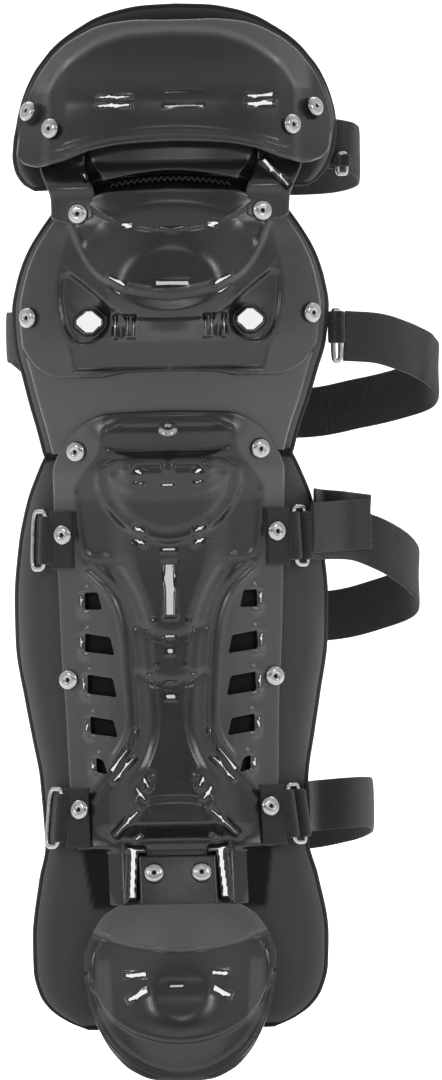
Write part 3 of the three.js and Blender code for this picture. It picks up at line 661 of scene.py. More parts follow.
def coated_cloth(name, tone):
    """Coated nylon of the pads: a fine even grain, soft creases and a dull sheen. The
    attribute "bare" is 1 on the open wings, 0 under the plates, where the cloth is painted
    nearly black as painted shade, and a half on the lining."""
    paint = Paint(name)
    cloud = paint.noise(14.0, 4.0)
    shade = paint.spread(cloud, 0.8, 1.0)
    # Painted shade: the cloth turns nearly black where "bare" falls to 0 under the plates
    paint.colour(paint.math("MULTIPLY", shade, paint.given("unshaded")),
                 [c * 0.02 for c in tone], [c * 1.15 for c in tone])
    grain = paint.add("ShaderNodeTexVoronoi")
    grain.inputs["Scale"].default_value = 1500.0
    paint.join(paint.coords.outputs["Object"], grain.inputs["Vector"])
    crease = paint.noise(45.0, 4.0)
    paint.bump((crease, 0.0004), (grain.outputs["Distance"], 0.00006))
    paint.set(Roughness=0.6, Sheen_Weight=0.06, Sheen_Roughness=0.4, Specular_IOR_Level=0.14)
    return paint.material


def woven_tape(name, tone, rib_mm, strand_mm, depth, sheen=0.15):
    """Webbing woven from its own UV map in millimetres: ribs across the tape and strands
    along it, lifted in turn as a sine of each."""
    paint = Paint(name)
    rib = paint.math("SINE", paint.uv_axis(1, 2 * math.pi / rib_mm))
    strand = paint.math("SINE", paint.uv_axis(0, 2 * math.pi / strand_mm))
    weave = paint.math("MULTIPLY", rib, strand)
    lift = paint.math("ADD", weave, paint.math("MULTIPLY", strand, 0.35))
    fuzz = paint.noise(900.0, 3.0)
    paint.colour(paint.spread(paint.math("ADD", lift, fuzz), 0.0, 1.0, -1.2, 2.0),
                 [c * 0.55 for c in tone], [c * 1.25 for c in tone])
    paint.bump((lift, depth), (fuzz, 0.00012))
    paint.set(Roughness=0.85, Sheen_Weight=sheen, Sheen_Roughness=0.5, Specular_IOR_Level=0.25)
    return paint.material


def thread(name, tone):
    """Bonded sewing thread, twisted."""
    paint = Paint(name)
    twist = paint.noise(2500.0, 2.0)
    paint.colour(twist, [c * 0.7 for c in tone], tone)
    paint.bump((twist, 0.00008))
    paint.set(Roughness=0.6)
    return paint.material


def plated_metal(name):
    """Worn nickel plate with hair scratches and dull patches, tarnished black where the
    attribute "dirt" is 1."""
    paint = Paint(name)
    patch = paint.noise(300.0, 4.0)
    clean = paint.math("MULTIPLY", paint.spread(patch, 0.75, 1.0),
                       paint.spread(paint.given("dirt"), 1.0, 0.0))
    paint.colour(clean, (0.01, 0.01, 0.01), (0.42, 0.42, 0.42))
    paint.join(paint.spread(patch, 0.2, 0.34, 0.3, 0.8), paint.shader.inputs["Roughness"])
    paint.bump((paint.noise(1800.0, 3.0), 0.00001))
    paint.set(Metallic=1.0)
    return paint.material


def stage_surface(name, tone):
    """Painted backdrop with a trace of mottle, lit up a little from within."""
    paint = Paint(name)
    paint.colour(paint.noise(3.0, 2.0), [c * 0.99 for c in tone], tone)
    paint.set(Roughness=0.9, Emission_Color=(1, 1, 1, 1), Emission_Strength=0.5)
    return paint.material


# The user's sizes and colours


class FinishSettings(bpy.types.PropertyGroup):
    """Colours and gloss of the finished surfaces."""

    plastic: FloatVectorProperty(
        name="Plastic", description="Colour of the moulded plates", subtype="COLOR",
        default=(0.0085, 0.0085, 0.009), min=0, max=1,
    )
    plastic_roughness: FloatProperty(
        name="Plastic roughness", description="Dullness of the moulded plates",
        default=0.27, min=0, max=1, subtype="FACTOR",
    )
    cloth: FloatVectorProperty(
        name="Pad cloth", description="Colour of the coated pad cloth", subtype="COLOR",
        default=(0.032, 0.032, 0.033), min=0, max=1,
    )
    webbing: FloatVectorProperty(
        name="Webbing", description="Colour of straps and tabs", subtype="COLOR",
        default=(0.017, 0.017, 0.0175), min=0, max=1,
    )
    binding: FloatVectorProperty(
        name="Binding", description="Colour of the tape round the pads", subtype="COLOR",
        default=(0.0028, 0.0028, 0.0028), min=0, max=1,
    )


class DetailSettings(bpy.types.PropertyGroup):
    """Fineness of the surfaces."""

    pitch: FloatProperty(
        name="Grid pitch", description="Distance between points of the thigh and knee plates",
        default=PITCH, min=0.0003, max=0.01, unit="LENGTH",
    )
    binding_width: FloatProperty(
        name="Binding width", description="How far the edge tape reaches in over the pad",
        default=0.0115, min=0.001, max=0.02, unit="LENGTH",
    )


def finish():
    return bpy.context.scene.guard_finish


def detail():
    return bpy.context.scene.guard_detail


PAINTS = {}


def paints():
    """The guard's materials, made once from the user's colours."""
    if not PAINTS:
        user = finish()
        satin = [c * 4.5 for c in user.plastic]
        PAINTS.update(
            gloss=gloss_plastic("gloss_black_plastic", user.plastic, user.plastic_roughness),
            soft=gloss_plastic("soft_black_plastic", user.plastic, 0.3),
            cloth=coated_cloth("coated_pad_cloth", user.cloth),
            webbing=woven_tape("elastic_webbing", user.webbing, 1.15, 1.6, 0.00022),
            binding=woven_tape("edge_binding_tape", user.binding, 0.8, 0.9, 0.00012, 0.0),
            satin=gloss_plastic("satin_black_plastic", satin, 0.34),
            thread=thread("sewing_thread", (0.03, 0.03, 0.03)),
            nickel=plated_metal("polished_nickel"),
        )
    return PAINTS


# Thigh section

THIGH_SIDE = curve([(57, 68), (61, 74), (68, 78.5), (76, 80.5), (96, 81)])
THIGH_ARCH = curve([
    (0, 149), (0.2, 148.3), (0.38, 145.6), (0.5, 142.2), (0.6, 137.6), (0.695, 132.5),
    (0.766, 127.5), (0.818, 122.5), (0.87, 117), (0.93, 107.5), (0.975, 96), (1, 84),
])
THIGH_PLATE_FOOT = curve([
    (0, 78.5), (0.3, 77.5), (0.5, 75), (0.72, 69.5), (0.88, 67.5), (0.96, 69.5), (1, 74),
])
THIGH_PANEL_TOP = curve([(0, 133.5), (20, 132.5), (35, 128.5), (45, 123), (55, 115), (62, 104)])
THIGH_INSET = 2.2


def thigh_centre(z):
    return 2.2 * past(z, 60, 35)


THIGH_PAD = Outline(
    THIGH_SIDE,
    even(THIGH_ARCH),
    even(lambda a: mix(63, 57, past(a, 0.4, 0.3))),
    centre=thigh_centre,
    bow=0.9,
)
THIGH_PLATE = Outline(
    lambda z: THIGH_SIDE(z) - THIGH_INSET,
    even(lambda a: THIGH_ARCH(a) - mix(8, 2, smooth(1.2 * a))),
    even(THIGH_PLATE_FOOT),
    centre=thigh_centre,
    bow=0.9,
)
THIGH_FLATS = [
    (-29, 101.5, 8.6, 0.9, 0, -1), (-29, 97.2, 8.6, 1.1, 0, -1),
    (44, 101.1, 6.8, 0.9, 0, 1), (44, 97, 6.8, 1.1, 0, 1),
    (6, 103.4, 10.0, 0.6, 0, 0), (6, 96.4, 10.0, 0.6, 0, 0),
]
TONGUE = Outline(
    lambda z: mix(33.5, 41, past(z, 59, 14)),
    level(86),
    even(lambda a: 64.5 - 5 * a**1.6),
    bow=0.1,
)
LINK_FLATS = {
    -1: [(-40.5, 63.3, 3.2, 1.8, 35, -1)],
    1: [(52.5, 62.6, 9.6, 1.6, -47, 1)],
}


def thigh_form(x, z):
    """Bulges in a roll over the links, carries a panel with a wide bevel along its arch and
    a crease over a ledge under it, and ends in a bead along the foot."""
    a = np.abs(x)
    over_links = 6.4 * until(z, 98, 26)
    roll = 4.4 * hill(z - 99, 17)
    panel = 2.2 * past(THIGH_PANEL_TOP(a) - z, -5.5, 7) * until(a, 66, 6)
    crease = 83.5 - 0.0027 * x * x
    ledge = 0.9 * past(z, crease - 9, 3) - 0.9 * hill(z - crease, 1.8)
    foot = THIGH_PLATE_FOOT(np.minimum(1, a / 79))
    bead = 0.7 * hill(z - foot - 2.2, 1.6)
    relief = (roll + panel) * until(a, 72, 12) + ledge * until(a, 60, 8) + bead - 0.9
    return PAD + GAP + over_links + relief


def thigh_painted_sheen(x, z):
    """Painted sheen, a lighter tone, on the bevel round the panel."""
    a = np.abs(x)
    return 0.9 * past(z, THIGH_PANEL_TOP(a), 2.5) * until(a, 72, 6) + 0.08


def tongue_under(x, z):
    """Comes forward towards its foot."""
    return PAD + GAP + 4.6 * until(z, 70, 9) + 0 * x


def link_form(x, z):
    """Lies on the knee plate's plain brow at its foot and comes down to the pad."""
    seated = PAD + 2 * PLATE + 3 * GAP + knee_cup(x, z)
    return mix(seated, PAD + GAP, past(z, 55, 14)) + 0.9 * hill(z - 57, 3.5)


def link_outline(sign):
    return Outline(
        lambda z: mix(11, 11.5, past(z, 44, 14)),
        level(79),
        lambda u: 43 - 4.5 * np.sqrt(np.maximum(0, 1 - u * u)),
        centre=lambda z: sign * mix(48.5, 54.5, past(z, 50, 20)),
        bow=0.1,
    )


# Knee section

KNEE_SIDE = curve([
    (46, 57.6), (36, 65), (27, 70.7), (19, 74.3), (10, 77), (-3, 79.2), (-20, 78),
    (-36, 73.7), (-50, 69.8), (-63, 65.7), (-77, 62),
])
KNEE_ARCH = curve([(0, 62.3), (0.6, 60), (0.85, 53), (1, 46)])
KNEE_PLATE_ARCH = curve([(0, 55.5), (0.6, 54), (0.85, 48.5), (1, 40)])
KNEE_PLATE_FOOT = curve([
    (0, -35.5), (0.3, -36.2), (0.5, -38.4), (0.8, -38), (0.93, -33), (1, -22),
])
# Half width by height beyond which the knee plate's border carries painted sheen
KNEE_PAINTED_SHEEN_SIDE = curve([
    (55, 44), (44, 47), (30, 51), (18, 54), (5, 56.5), (-15, 53), (-24, 49), (-32, 46),
    (-39, 43),
])
PLATE_INSET = 3.8
WAIST = -77
KNEE_PAD = Outline(KNEE_SIDE, even(KNEE_ARCH), level(WAIST), bow=0.9)
KNEE_PLATE = Outline(
    lambda z: KNEE_SIDE(z) - PLATE_INSET, even(KNEE_PLATE_ARCH), even(KNEE_PLATE_FOOT)
)
LOWER_KNEE = Outline(lambda z: KNEE_SIDE(z) - PLATE_INSET - 0.6, level(-27), level(-76))
KNEE_POCKET = rounded(
    [(53.5, 17.5), (55.5, 4), (53.5, -11), (47.5, -21.5), (34, -20), (28, -4.5)], True, 2
)
KNEE_FOOT_PANEL = [(0, -21.5), (50, -19), (47, -34.5), (0, -34.5)]
DIAMOND = rounded([(40.2, -2.6), (49.6, -10.8), (40.2, -19.0), (30.8, -10.8)], True, 1)
DIAMOND_HEIGHT = 7.6
# The lines of a cap, a bowl and a skirt. Columns: line, its step and ramp, height, inset
# and width of the bead on it, half width of the field and its fade
KNEE_STEPS = (
    (rounded([(52, 56), (44, 49), (36, 43), (27, 38.4), (14, 34.6), (0, 33.5)]),
     0.9, 2.4, 0.35, 1.4, 1.2, 46, 14),
    (rounded([(60, 50), (51, 40), (46.8, 29), (42, 19), (35.5, 11.2), (26, 6.2), (14, 2.6),
              (0, 1)]),
     2.0, 3.4, 0.45, 1.6, 1.7, 56, 10),
    (rounded([(66, 30), (54, 19), (46, 10), (37, 3), (28, -5.5), (19, -9.6), (0, -10.6)]),
     1.3, 2.6, 0.25, 1.2, 1.3, 56, 10),
)
KNEE_FLATS = [
    *mirrored_flats((21.4, 36.8, 3.0, 0.9, 8), (26.4, 9, 5.2, 1.0, 30), (27.6, 4.6, 3.6, 0.7, 30),
                    (27.1, -13.3, 0.8, 5.2, 0), (21.1, -13.3, 0.8, 5.2, 0),
                    (17.9, -13.3, 0.7, 5.2, 0)),
    (1, 7.6, 8.4, 1.5, 0, 0), (1, 35.6, 6.5, 0.6, 0, 0),
]
DIAMOND_FLATS = mirrored_flats((40.2, -10.8, 12, 12, 0))


def knee_cup(x, z):
    """The plate's large form: a cup, fullest below its middle, under a low brow."""
    tall = np.where(z > 5, 45.0, 25.0)
    r = np.hypot(x / 53, (z - 5) / tall)
    return 12 * until(r, 1, 0.6) + 2.0 * hill(z - 37, 6) * hill(x, 40)


def knee_form(x, z):
    """The cup with the lines of a cap, a bowl and a skirt, and under it a bridge with
    upright bars, a pocket at each side and a panel that leans in towards its foot."""
    a = np.abs(x)
    body = knee_cup(x, z) + 4.2 * hill(z + 17, 13) * hill(x, 42)
    for line, step, ramp, bead, inset, width, half, fade in KNEE_STEPS:
        d = side_of(a, z, line)
        relief = step * within(d, ramp) + bead * hill(d + inset, width)
        body = body + relief * until(a, half, fade)
    pocket = edge_distance(a, z, KNEE_POCKET)
    body = body - 1.5 * within(pocket, 3.0) + 0.3 * hill(pocket - 1.2, 1.2)
    bars = 0.9 * (hill(a - 27.1, 1.9) - hill(a - 24.2, 1.3) + hill(a - 19.5, 3.4))
    lean = 0.7 + 0.09 * (-21.5 - z)
    panel = within(edge_distance(a, z, KNEE_FOOT_PANEL), 2.4)
    return body + bars * band(z, -20.5, -6.5, 2) - lean * panel


def diamond_share(x, z):
    return within(edge_distance(np.abs(x), z, DIAMOND) - 0.3, 0.9)


def knee_plate_under(x, z):
    """The plate with its polished lands, and in each pocket a boss with a flat, diamond-
    shaped face."""
    body = with_flats(knee_form, x, z, KNEE_FLATS)
    boss = with_flats(level(DIAMOND_HEIGHT), x, z, DIAMOND_FLATS)
    return PAD + PLATE + 2 * GAP + mix(body, boss, diamond_share(x, z)) - 1.0


def knee_painted_sheen(x, z):
    """Painted sheen, a lighter tone, on the border outside the pockets and on the bridge between
    them.
    """
    a = np.abs(x)
    bridge = band(z, -21.5, -10, 1.5) * until(a, 27, 2)
    return 0.35 * np.maximum(past(a, KNEE_PAINTED_SHEEN_SIDE(z), 2.5), bridge)


# Shin section

SHIN_SIDE = curve([
    (-77.4, 62), (-85, 65.5), (-100, 71.3), (-122, 76), (-150, 78.5), (-170, 78.2),
    (-200, 73.7), (-218, 70.6), (-240, 66.9), (-272, 65.5), (-290, 69.5), (-318, 73.5),
    (-334, 73), (-345, 70), (-352, 65), (-358, 56), (-362, 46),
])
SHIN_PLATE_SIDE = curve([
    (-75, 55), (-86, 58), (-100, 58), (-140, 56.5), (-175, 55.3), (-205, 53.5),
    (-240, 52.4), (-275, 49), (-302, 45),
])
SHIN_ARCH = curve([(0, -55.5), (0.55, -56.5), (0.76, -60.5), (0.9, -67), (1, -77)])
# Half width by height beyond which the shin plate's flanks carry painted sheen
SHIN_PAINTED_SHEEN_SIDE = curve([
    (-56, 31), (-76, 34), (-84, 40), (-95, 46.5), (-125, 45.5), (-134, 40), (-146, 28),
    (-160, 23.5), (-190, 21.5), (-206, 20), (-214, 20.5), (-222, 23.5), (-230, 29),
    (-238, 35.5), (-247, 43), (-262, 46), (-302, 30),
])
SHIN_FOOT = -362
INSTEP_NOTCH = 24
SHIN_PLATE_FOOT = -302
FOOT_TAB_TOP = -276
SHIN_PAD = Outline(
    SHIN_SIDE, level(WAIST - GAP), lambda u: SHIN_FOOT + INSTEP_NOTCH * hill(u, 0.3), bow=0.9
)
SHIN_PLATE = Outline(SHIN_PLATE_SIDE, even(SHIN_ARCH), level(SHIN_PLATE_FOOT), bow=0.4)
SHIN_RECESS = mirrored([(0, -62), (31, -62), (33, -66), (31.5, -76.5), (0, -77)])
BUMP_FIELD = mirrored([(0, -78.5), (31, -78), (30, -91), (22, -95.6), (10, -98), (0, -98.4)])
SHIELD = mirrored([
    (0, -79), (35, -80), (36.5, -90), (34.5, -98.5), (29.5, -106), (22.5, -113.5),
    (10, -119.8), (0, -121.6),
])
# Open lines, and along each the offset, height and width of its beads and grooves: the
# pockets beside the shield, the outer and inner channels, the ridge's notches, the flares
# above the ankle
SHIN_LINES = (
    (rounded([(46, -96), (45.4, -110), (43.8, -124), (39.5, -129), (31, -128)]),
     (0, 0.7, 1.5)),
    (rounded([
        (40, -134), (27, -146), (22.5, -160), (21, -172), (20, -190), (18.8, -205),
        (19.2, -214), (22, -222), (27.5, -230), (34, -238), (42, -247),
    ]), (0, -0.8, 1.9), (3.0, 0.45, 1.3)),
    (rounded([
        (25, -135), (17.5, -147), (14, -158), (11, -170), (8.8, -195), (7.5, -207),
        (8.8, -219), (13.5, -232), (21, -241),
    ]), (0, -0.45, 1.6), (2.6, 0.25, 1.2)),
    ([(0, -169.6), (9, -167), (16, -163)], (0, -1.3, 2.0)),
    ([(0, -192.6), (9, -190), (16, -187)], (0, -1.3, 2.0)),
    ([(12, -237.7), (15.4, -243.3)], (0, 1.2, 2.6)),
    ([(13.8, -242.6), (19.2, -249.8)], (0, 1.2, 2.6)),
    ([(17.6, -253.6), (31, -267.4)], (0, 1.2, 2.6)),
)
# Columns: inner edge, outer edge, top, bottom, fall towards the ridge
VENTS = [
    (34.5, 43, -145.5, -154, 0),
    (28.5, 43, -166, -175, 2),
    (27.5, 42, -186.5, -196, 2),
    (27.5, 41, -207.5, -216, 2),
    (33, 38.5, -228, -235, 1.5),
]
SHIN_FLATS = [
    *mirrored_flats(
        (14.9, -85.9, 2.8, 1.0, 26), (14.9, -91.3, 2.8, 0.9, 26),
        (14.9, -114.6, 3.4, 0.9, 28), (14.9, -120.6, 3.6, 1.0, 28),
        (9.0, -159.8, 0.8, 0.8, 0), (11.7, -165.2, 1.0, 1.0, 0),
        (7.5, -182, 0.8, 0.8, 0), (11, -186.8, 1.0, 1.0, 0),
        (19.4, -219, 0.7, 5.0, 16), (27.2, -229.4, 0.9, 7.2, 40), (25, -234.2, 1.0, 8.4, 42),
        (13.7, -240.5, 1.0, 3.2, -31), (16.6, -246.2, 1.1, 4.4, -37),
        (24.2, -260.4, 1.2, 9.2, 45), (18.9, -268, 1.2, 2.4, 45),
        *((v[1] + 2.2, (v[2] + v[3]) / 2, 0.8, (v[2] - v[3]) * 0.4, 0) for v in VENTS),
    ),
    (-0.5, -92.6, 3.2, 1.2, 0, 0), (-0.5, -124.6, 3.6, 1.3, 0, 0),
    (-0.5, -144.5, 2.9, 13.4, 0, 0),
    (-0.5, -168, 3.0, 1.2, 0, 0), (-0.5, -175.2, 1.8, 1.8, 0, 0),
    (-0.5, -190.6, 3.0, 1.0, 0, 0), (-0.5, -198, 2.6, 1.6, 0, 0),
]
T_RIB_HEIGHT = 3.4
T_RIB_FLATS = mirrored_flats((22.6, -287, 9, 16, 0))


def vent_corners(vent):
    inner, outer, top, bottom, fall = vent
    return [(outer, top), (outer, bottom), (inner, bottom - fall), (inner + 2, top - fall)]


def shin_form(x, z):
    """A ridge with soft shoulders; on it a sunk panel, a field of three bumps and a shield,
    then two channels that turn out to the ankle, and a rounded ankle boss."""
    a = np.abs(x)
    ridge_half = mix(20, 10, until(z, -125, 40)) + 12 * until(z, -215, 35)
    body = 9 * until(a, ridge_half + 12, 15) + 3 * until(a, 46, 16)
    shield = edge_distance(x, z, SHIELD)
    fine = 2.0 * within(shield, 3.4) + 0.3 * hill(shield + 1.0, 1.4)
    fine = fine + 0.6 * within(shield + 6.5, 2.6)
    field = edge_distance(x, z, BUMP_FIELD)
    fine = fine + 0.9 * within(field, 2.6) + 0.5 * within(field + 5.4, 2.2)
    for centre in (-21, 0, 20.5):
        fine = fine + 1.5 * within(np.hypot(x - centre, z + 83.6) - 2.9, 2.6)
    for line, *strokes in SHIN_LINES:
        d = line_distance(a, z, line)
        for offset, height, width in strokes:
            fine = fine + height * hill(d - offset, width)
    fine = fine + 1.3 * within(a - 3.4, 1.5) * band(z, -160, -130, 2)
    for vent in VENTS:
        d = edge_distance(a, z, vent_corners(vent))
        fine = fine + 0.8 * hill(d - 1.9, 1.7) * past(a, vent[1] - 3, 3)
    oval = np.abs(x / 29) ** 2.6 + np.abs((z + 264) / 17) ** 2.6
    boss = 1.3 * until(oval, 1, 0.5)
    relief = (
        body * until(z, -57, 14) * past(z, FOOT_TAB_TOP + 6, 10)
        + (fine * until(z, -60, 4) * until(a, SHIN_PLATE_SIDE(z), 3) + boss)
        * past(z, FOOT_TAB_TOP + 1.5, 3.0)
    )
    sunk = PLATE * 0.3 + 2.0 * until(z, -57, 10)
    relief = mix(relief, sunk, within(edge_distance(x, z, SHIN_RECESS), 2.6))
    return relief + (PLATE + GAP) * past(z, -101, 18)


def t_rib_share(x, z):
    """1 on the T-shaped ribs beside the foot tab: a bar over a stem that leans outwards."""
    a = np.abs(x)
    stem = np.abs(a - 21.9 - 1.4 * until(z, FOOT_TAB_TOP, 24)) - 2.4
    stem = np.maximum(stem, np.maximum(z - FOOT_TAB_TOP - 2, -(z + 299)))
    bar_low = FOOT_TAB_TOP + 0.3 + 0.09 * (a - 20)
    bar = np.maximum(np.abs(a - 20.6) - 5.2, np.maximum(bar_low - z, z - bar_low - 3.2))
    return within(np.minimum(stem, bar), 1.0)


def shin_plate_under(x, z):
    """The relief with its lands. Beside the foot tab the plate turns away outwards and
    carries the two ribs, whose faces are turned a little to the side."""
    relief = with_flats(shin_form, x, z, SHIN_FLATS)
    away = 0.42 * np.maximum(0, np.abs(x) - 27.5) * until(z, FOOT_TAB_TOP + 3, 3)
    face = with_flats(level(T_RIB_HEIGHT), x, z, T_RIB_FLATS)
    return PAD + GAP + mix(relief - away, face, t_rib_share(x, z))


def shin_painted_sheen(x, z):
    """Painted sheen, a lighter tone, on the flanks outside the outer channels."""
    return 0.62 * past(np.abs(x), SHIN_PAINTED_SHEEN_SIDE(z), 2.5)


# Foot

FOOT_SIDE = 47.6
FOOT_ARCH = curve([(0, -300), (0.6, -301), (0.78, -305.5), (0.9, -313), (1, -324)])
FOOT_RIM = curve([
    (0, -387.5), (0.3, -386), (0.54, -381), (0.72, -372.5), (0.86, -361), (0.95, -349), (1, -337),
])
FOOT_TAB = Outline(level(19.6), level(FOOT_TAB_TOP - 1), level(-308), bow=0.1)
FOOT_PLATE = Outline(level(FOOT_SIDE), even(FOOT_ARCH), even(FOOT_RIM), bow=0.9)
FOOT_TAB_SEAT = PAD + PLATE + 3 * GAP
FOOT_SEAT = FOOT_TAB_SEAT + LINK + 2 * GAP
FLANGE_LINE = rounded([(48, -311), (40, -315.5), (28, -320), (14, -322.3), (0, -323)])
FIELD_LINE = rounded([(46, -334), (41, -348), (33, -357.5), (22, -364), (10, -367.3), (0, -368)])
FOOT_FLATS = [
    (-22, -334.6, 5.6, 1.3, 2, -1), (-21, -344.4, 5.8, 1.4, 26, -1),
    (19.6, -334.2, 4.4, 1.2, -2, 1), (20.6, -343.4, 5.0, 1.5, -24, 1),
    (-1.8, -340, 3.6, 1.0, 0, 0),
]


def foot_form(x, z):
    """A plain flange, under it a step down to a dome with two low rolls and an oval field
    at its foot, inside a double rim."""
    a = np.abs(x)
    dome = 13 * until(np.hypot(x / 46, (z + 342) / 46), 1, 0.75)
    flange = side_of(a, z, FLANGE_LINE)
    field = side_of(a, z, FIELD_LINE)
    steps = 2.2 * within(flange, 3.0) + 1.5 * within(field, 2.8) + 0.35 * hill(field + 1.2, 1.4)
    bow = 0.0042 * a * a
    rolls = 0.3 * (hill(z + 334.5 + 0.3 * bow, 3.4) + hill(z + 344 - bow, 3.4))
    r = np.hypot(x / 47.6, (z + 336) / 51.5)
    rim = 0.5 * (hill(r - 0.95, 0.02) - hill(r - 0.9, 0.022)) * until(z, -318, 8)
    return dome + steps + rolls * until(a, 33, 8) * past(flange, 2, 3) + rim


def foot_painted_sheen(x, z):
    """Painted sheen, a lighter tone, on the flange above the dome and on two bands beside its
    rolls.
    """
    a = np.abs(x)
    flange = until(side_of(a, z, FLANGE_LINE), 1, 2)
    sides = past(a, 33 + 0.06 * (z + 345), 2) * until(a, 43, 3)
    return np.maximum(0.8 * flange, 0.5 * sides * until(z, -326, 4) * past(z, -362, 6))


# Pads

PAD_RIM = (0.0, 0.2, 0.8, 1.8, 3.2)
BINDING_THICKNESS = 0.75


def pad_depth(outline):
    """Full depth inside, falling as a root towards the bound edge."""
    soft = 10.0

    def depth(x, z):
        side = outline.side(z)
        u = np.clip((x - outline.centre(z)) / side, -1, 1)
        ends = np.minimum(outline.top(u) - z, z - outline.bottom(u))
        inwards = np.minimum(side * (1 - np.abs(u)), ends)
        return mix(PAD_EDGE, PAD, np.sqrt(smooth(inwards / soft)))

    return depth


def binding_mesh(name, outline, material, width):
    """Edge tape: a C-shaped section carried round the outline, its legs on the pad's two
    faces. Inwards is the outline's own normal in the front view, evened out a little."""
    x, z, length = outline.border(BORDER_POINTS)
    tx = np.roll(x, -1) - np.roll(x, 1)
    tz = np.roll(z, -1) - np.roll(z, 1)
    size = np.hypot(tx, tz)
    run_out = 4
    kernel = np.ones(2 * run_out + 1) / (2 * run_out + 1)
    nx, nz = (
        np.convolve(np.concatenate([n[-run_out:], n, n[:run_out]]), kernel, "valid")
        for n in (-tz / size, tx / size)
    )
    thick = BINDING_THICKNESS
    middle = PAD_EDGE / 2
    half = middle + thick
    turn = np.linspace(-np.pi / 2, np.pi / 2, 9)
    # Columns: distance in from the outline, distance from the middle of the pad's edge
    section = np.array([
        (width, -half + 0.2), (width * 0.9, -half),
        *((0.6 - (0.6 + thick) * math.cos(t), half * math.sin(t)) for t in turn),
        (width * 0.5, half + 1.1), (width * 0.9, half + 1.9), (width, half + 1.7),
        (width, half + 1.1), (width * 0.5, half + 0.2), (0.8, half - thick - 0.2),
        (0.3, 0.0), (0.8, -half + thick), (width * 0.9, -half + thick * 0.6),
    ])
    inset, depth = section.T[:, None]
    points = layer(x[:, None] + nx[:, None] * inset, z[:, None] + nz[:, None] * inset,
                   depth + middle)
    run = np.linspace(0, length, len(x), endpoint=False)
    around = np.concatenate([[0], np.cumsum(np.hypot(*np.diff(section, axis=0).T))])
    faces = grid_faces(len(x), len(section), wrap_rows=True, wrap_columns=True, flip=True)
    return mesh_object(name, points, faces, material, grid_uv(around, run))


def stitch_mesh(name, starts, ends, lifts, radius, material):
    """A short six-sided grain of thread from each start to each end, swelling in the
    middle and lifted along the given directions."""
    sides = 6
    share = np.array([0.0, 0.12, 0.5, 0.88, 1.0])
    swell = np.array([0.25, 0.8, 1.0, 0.8, 0.25])
    rise = np.array([-0.6, 0.2, 0.75, 0.2, -0.6]) * radius
    along = ends - starts
    across = unit(np.cross(unit(along), lifts))
    centres = starts[:, None] + along[:, None] * share[:, None]
    centres = centres + lifts[:, None] * rise[:, None]
    points = rings(centres, across[:, None], lifts[:, None], radius * swell, sides)
    one = grid_faces(len(share), sides, wrap_columns=True)
    shift = np.arange(len(starts)) * len(share) * sides
    faces = (one[None] + shift[:, None, None]).reshape(-1, 4)
    return close_ends(mesh_object(name, points, faces, material))


class GUARD_OT_pads(bpy.types.Operator):
    """Build the three cloth-covered pads with their bound edges"""

    bl_idname = "guard.pads"
    bl_label = "Pads and bindings"

    def execute(self, context):
        paint = paints()
        width = detail().binding_width / MM
        for name, outline, size, cover in (
            ("thigh_pad", THIGH_PAD, (162, 90), THIGH_PLATE.side),
            ("knee_pad", KNEE_PAD, (155, 138), KNEE_PLATE.side),
            ("shin_pad", SHIN_PAD, (150, 285), SHIN_PLATE_SIDE),
        ):
            pad = shell_mesh(name + "_body", outline, level(0), pad_depth(outline), 2.0,
                             paint["cloth"], size, rim=PAD_RIM)
            self.mark_painted_shade(pad, cover)
            finish_piece(pad, "pad_cloth", name)
            tape = binding_mesh(name + "_binding", outline, paint["binding"], width)
            finish_piece(tape, "pad_cloth")
        self.zigzag(paint["thread"])
        return {"FINISHED"}

    def mark_painted_shade(self, pad, cover):
        """1 outside the plate's half width or under its foot, 0 beneath the plate, where the
        cloth gets painted shade, and half on the lining that faces the leg."""
        x, _, z = point_array(pad.data).T / MM
        beyond = past(np.abs(x - leg_drift(z)), cover(z) - 2.5, 2)
        unshaded = np.maximum(beyond, until(z, SHIN_PLATE_FOOT, 3))
        unshaded[point_array(pad.data, "normal")[:, 1] > 0] = 0.5
        mark(pad, "unshaded", unshaded)

    def zigzag(self, material):
        """Row of stitches along the arch of the knee pad."""
        reach, stitch, half_height = 30.0, 1.5, 1.3
        steps = np.arange(-reach, reach + 1, stitch)
        turn = np.where(np.arange(len(steps)) % 2, 1, -1)
        arch = 60.4 - 0.0035 * steps**2 + half_height * turn
        points = layer(steps, arch, PAD + 0.15)
        normals = form_normal(steps[:-1], arch[:-1])
        row = stitch_mesh("knee_pad_zigzag", points[:-1], points[1:], normals, 0.32, material)
        finish_piece(row, "pad_cloth")


class GUARD_OT_thigh(bpy.types.Operator):
    """Build the thigh plate, the tongue under it and the hinge links"""

    bl_idname = "guard.thigh"
    bl_label = "Thigh plates"

    def execute(self, context):
        # The mark grain gives the plate its painted sheen
        mould("thigh_plate", THIGH_PLATE, lands(thigh_form, THIGH_FLATS), PLATE, 0.7,
              (157, 72), land=polished(THIGH_FLATS), grain=thigh_painted_sheen)
        mould("thigh_tongue", TONGUE, tongue_under, LINK, 1.2, (82, 26), "soft")
        for where, sign in (("left", -1), ("right", 1)):
            flats = LINK_FLATS[sign]
            mould("knee_link_" + where, link_outline(sign), lands(link_form, flats), LINK, 0.6,
                  (23, 40), land=polished(flats))
        return {"FINISHED"}


class GUARD_OT_knee(bpy.types.Operator):
    """Build the knee plate with its cup and the smooth plate under it"""

    bl_idname = "guard.knee"
    bl_label = "Knee plates"

    def execute(self, context):
        # The mark grain gives the plate its painted sheen
        mould("knee_plate", KNEE_PLATE, knee_plate_under, PLATE, 0.7, (147, 94),
              land=polished(KNEE_FLATS, diamond_share), grain=knee_painted_sheen)
        mould("lower_knee_plate", LOWER_KNEE, level(PAD + GAP), PLATE, 1.5, (141, 49), "satin",
              name="lower_knee")
        return {"FINISHED"}


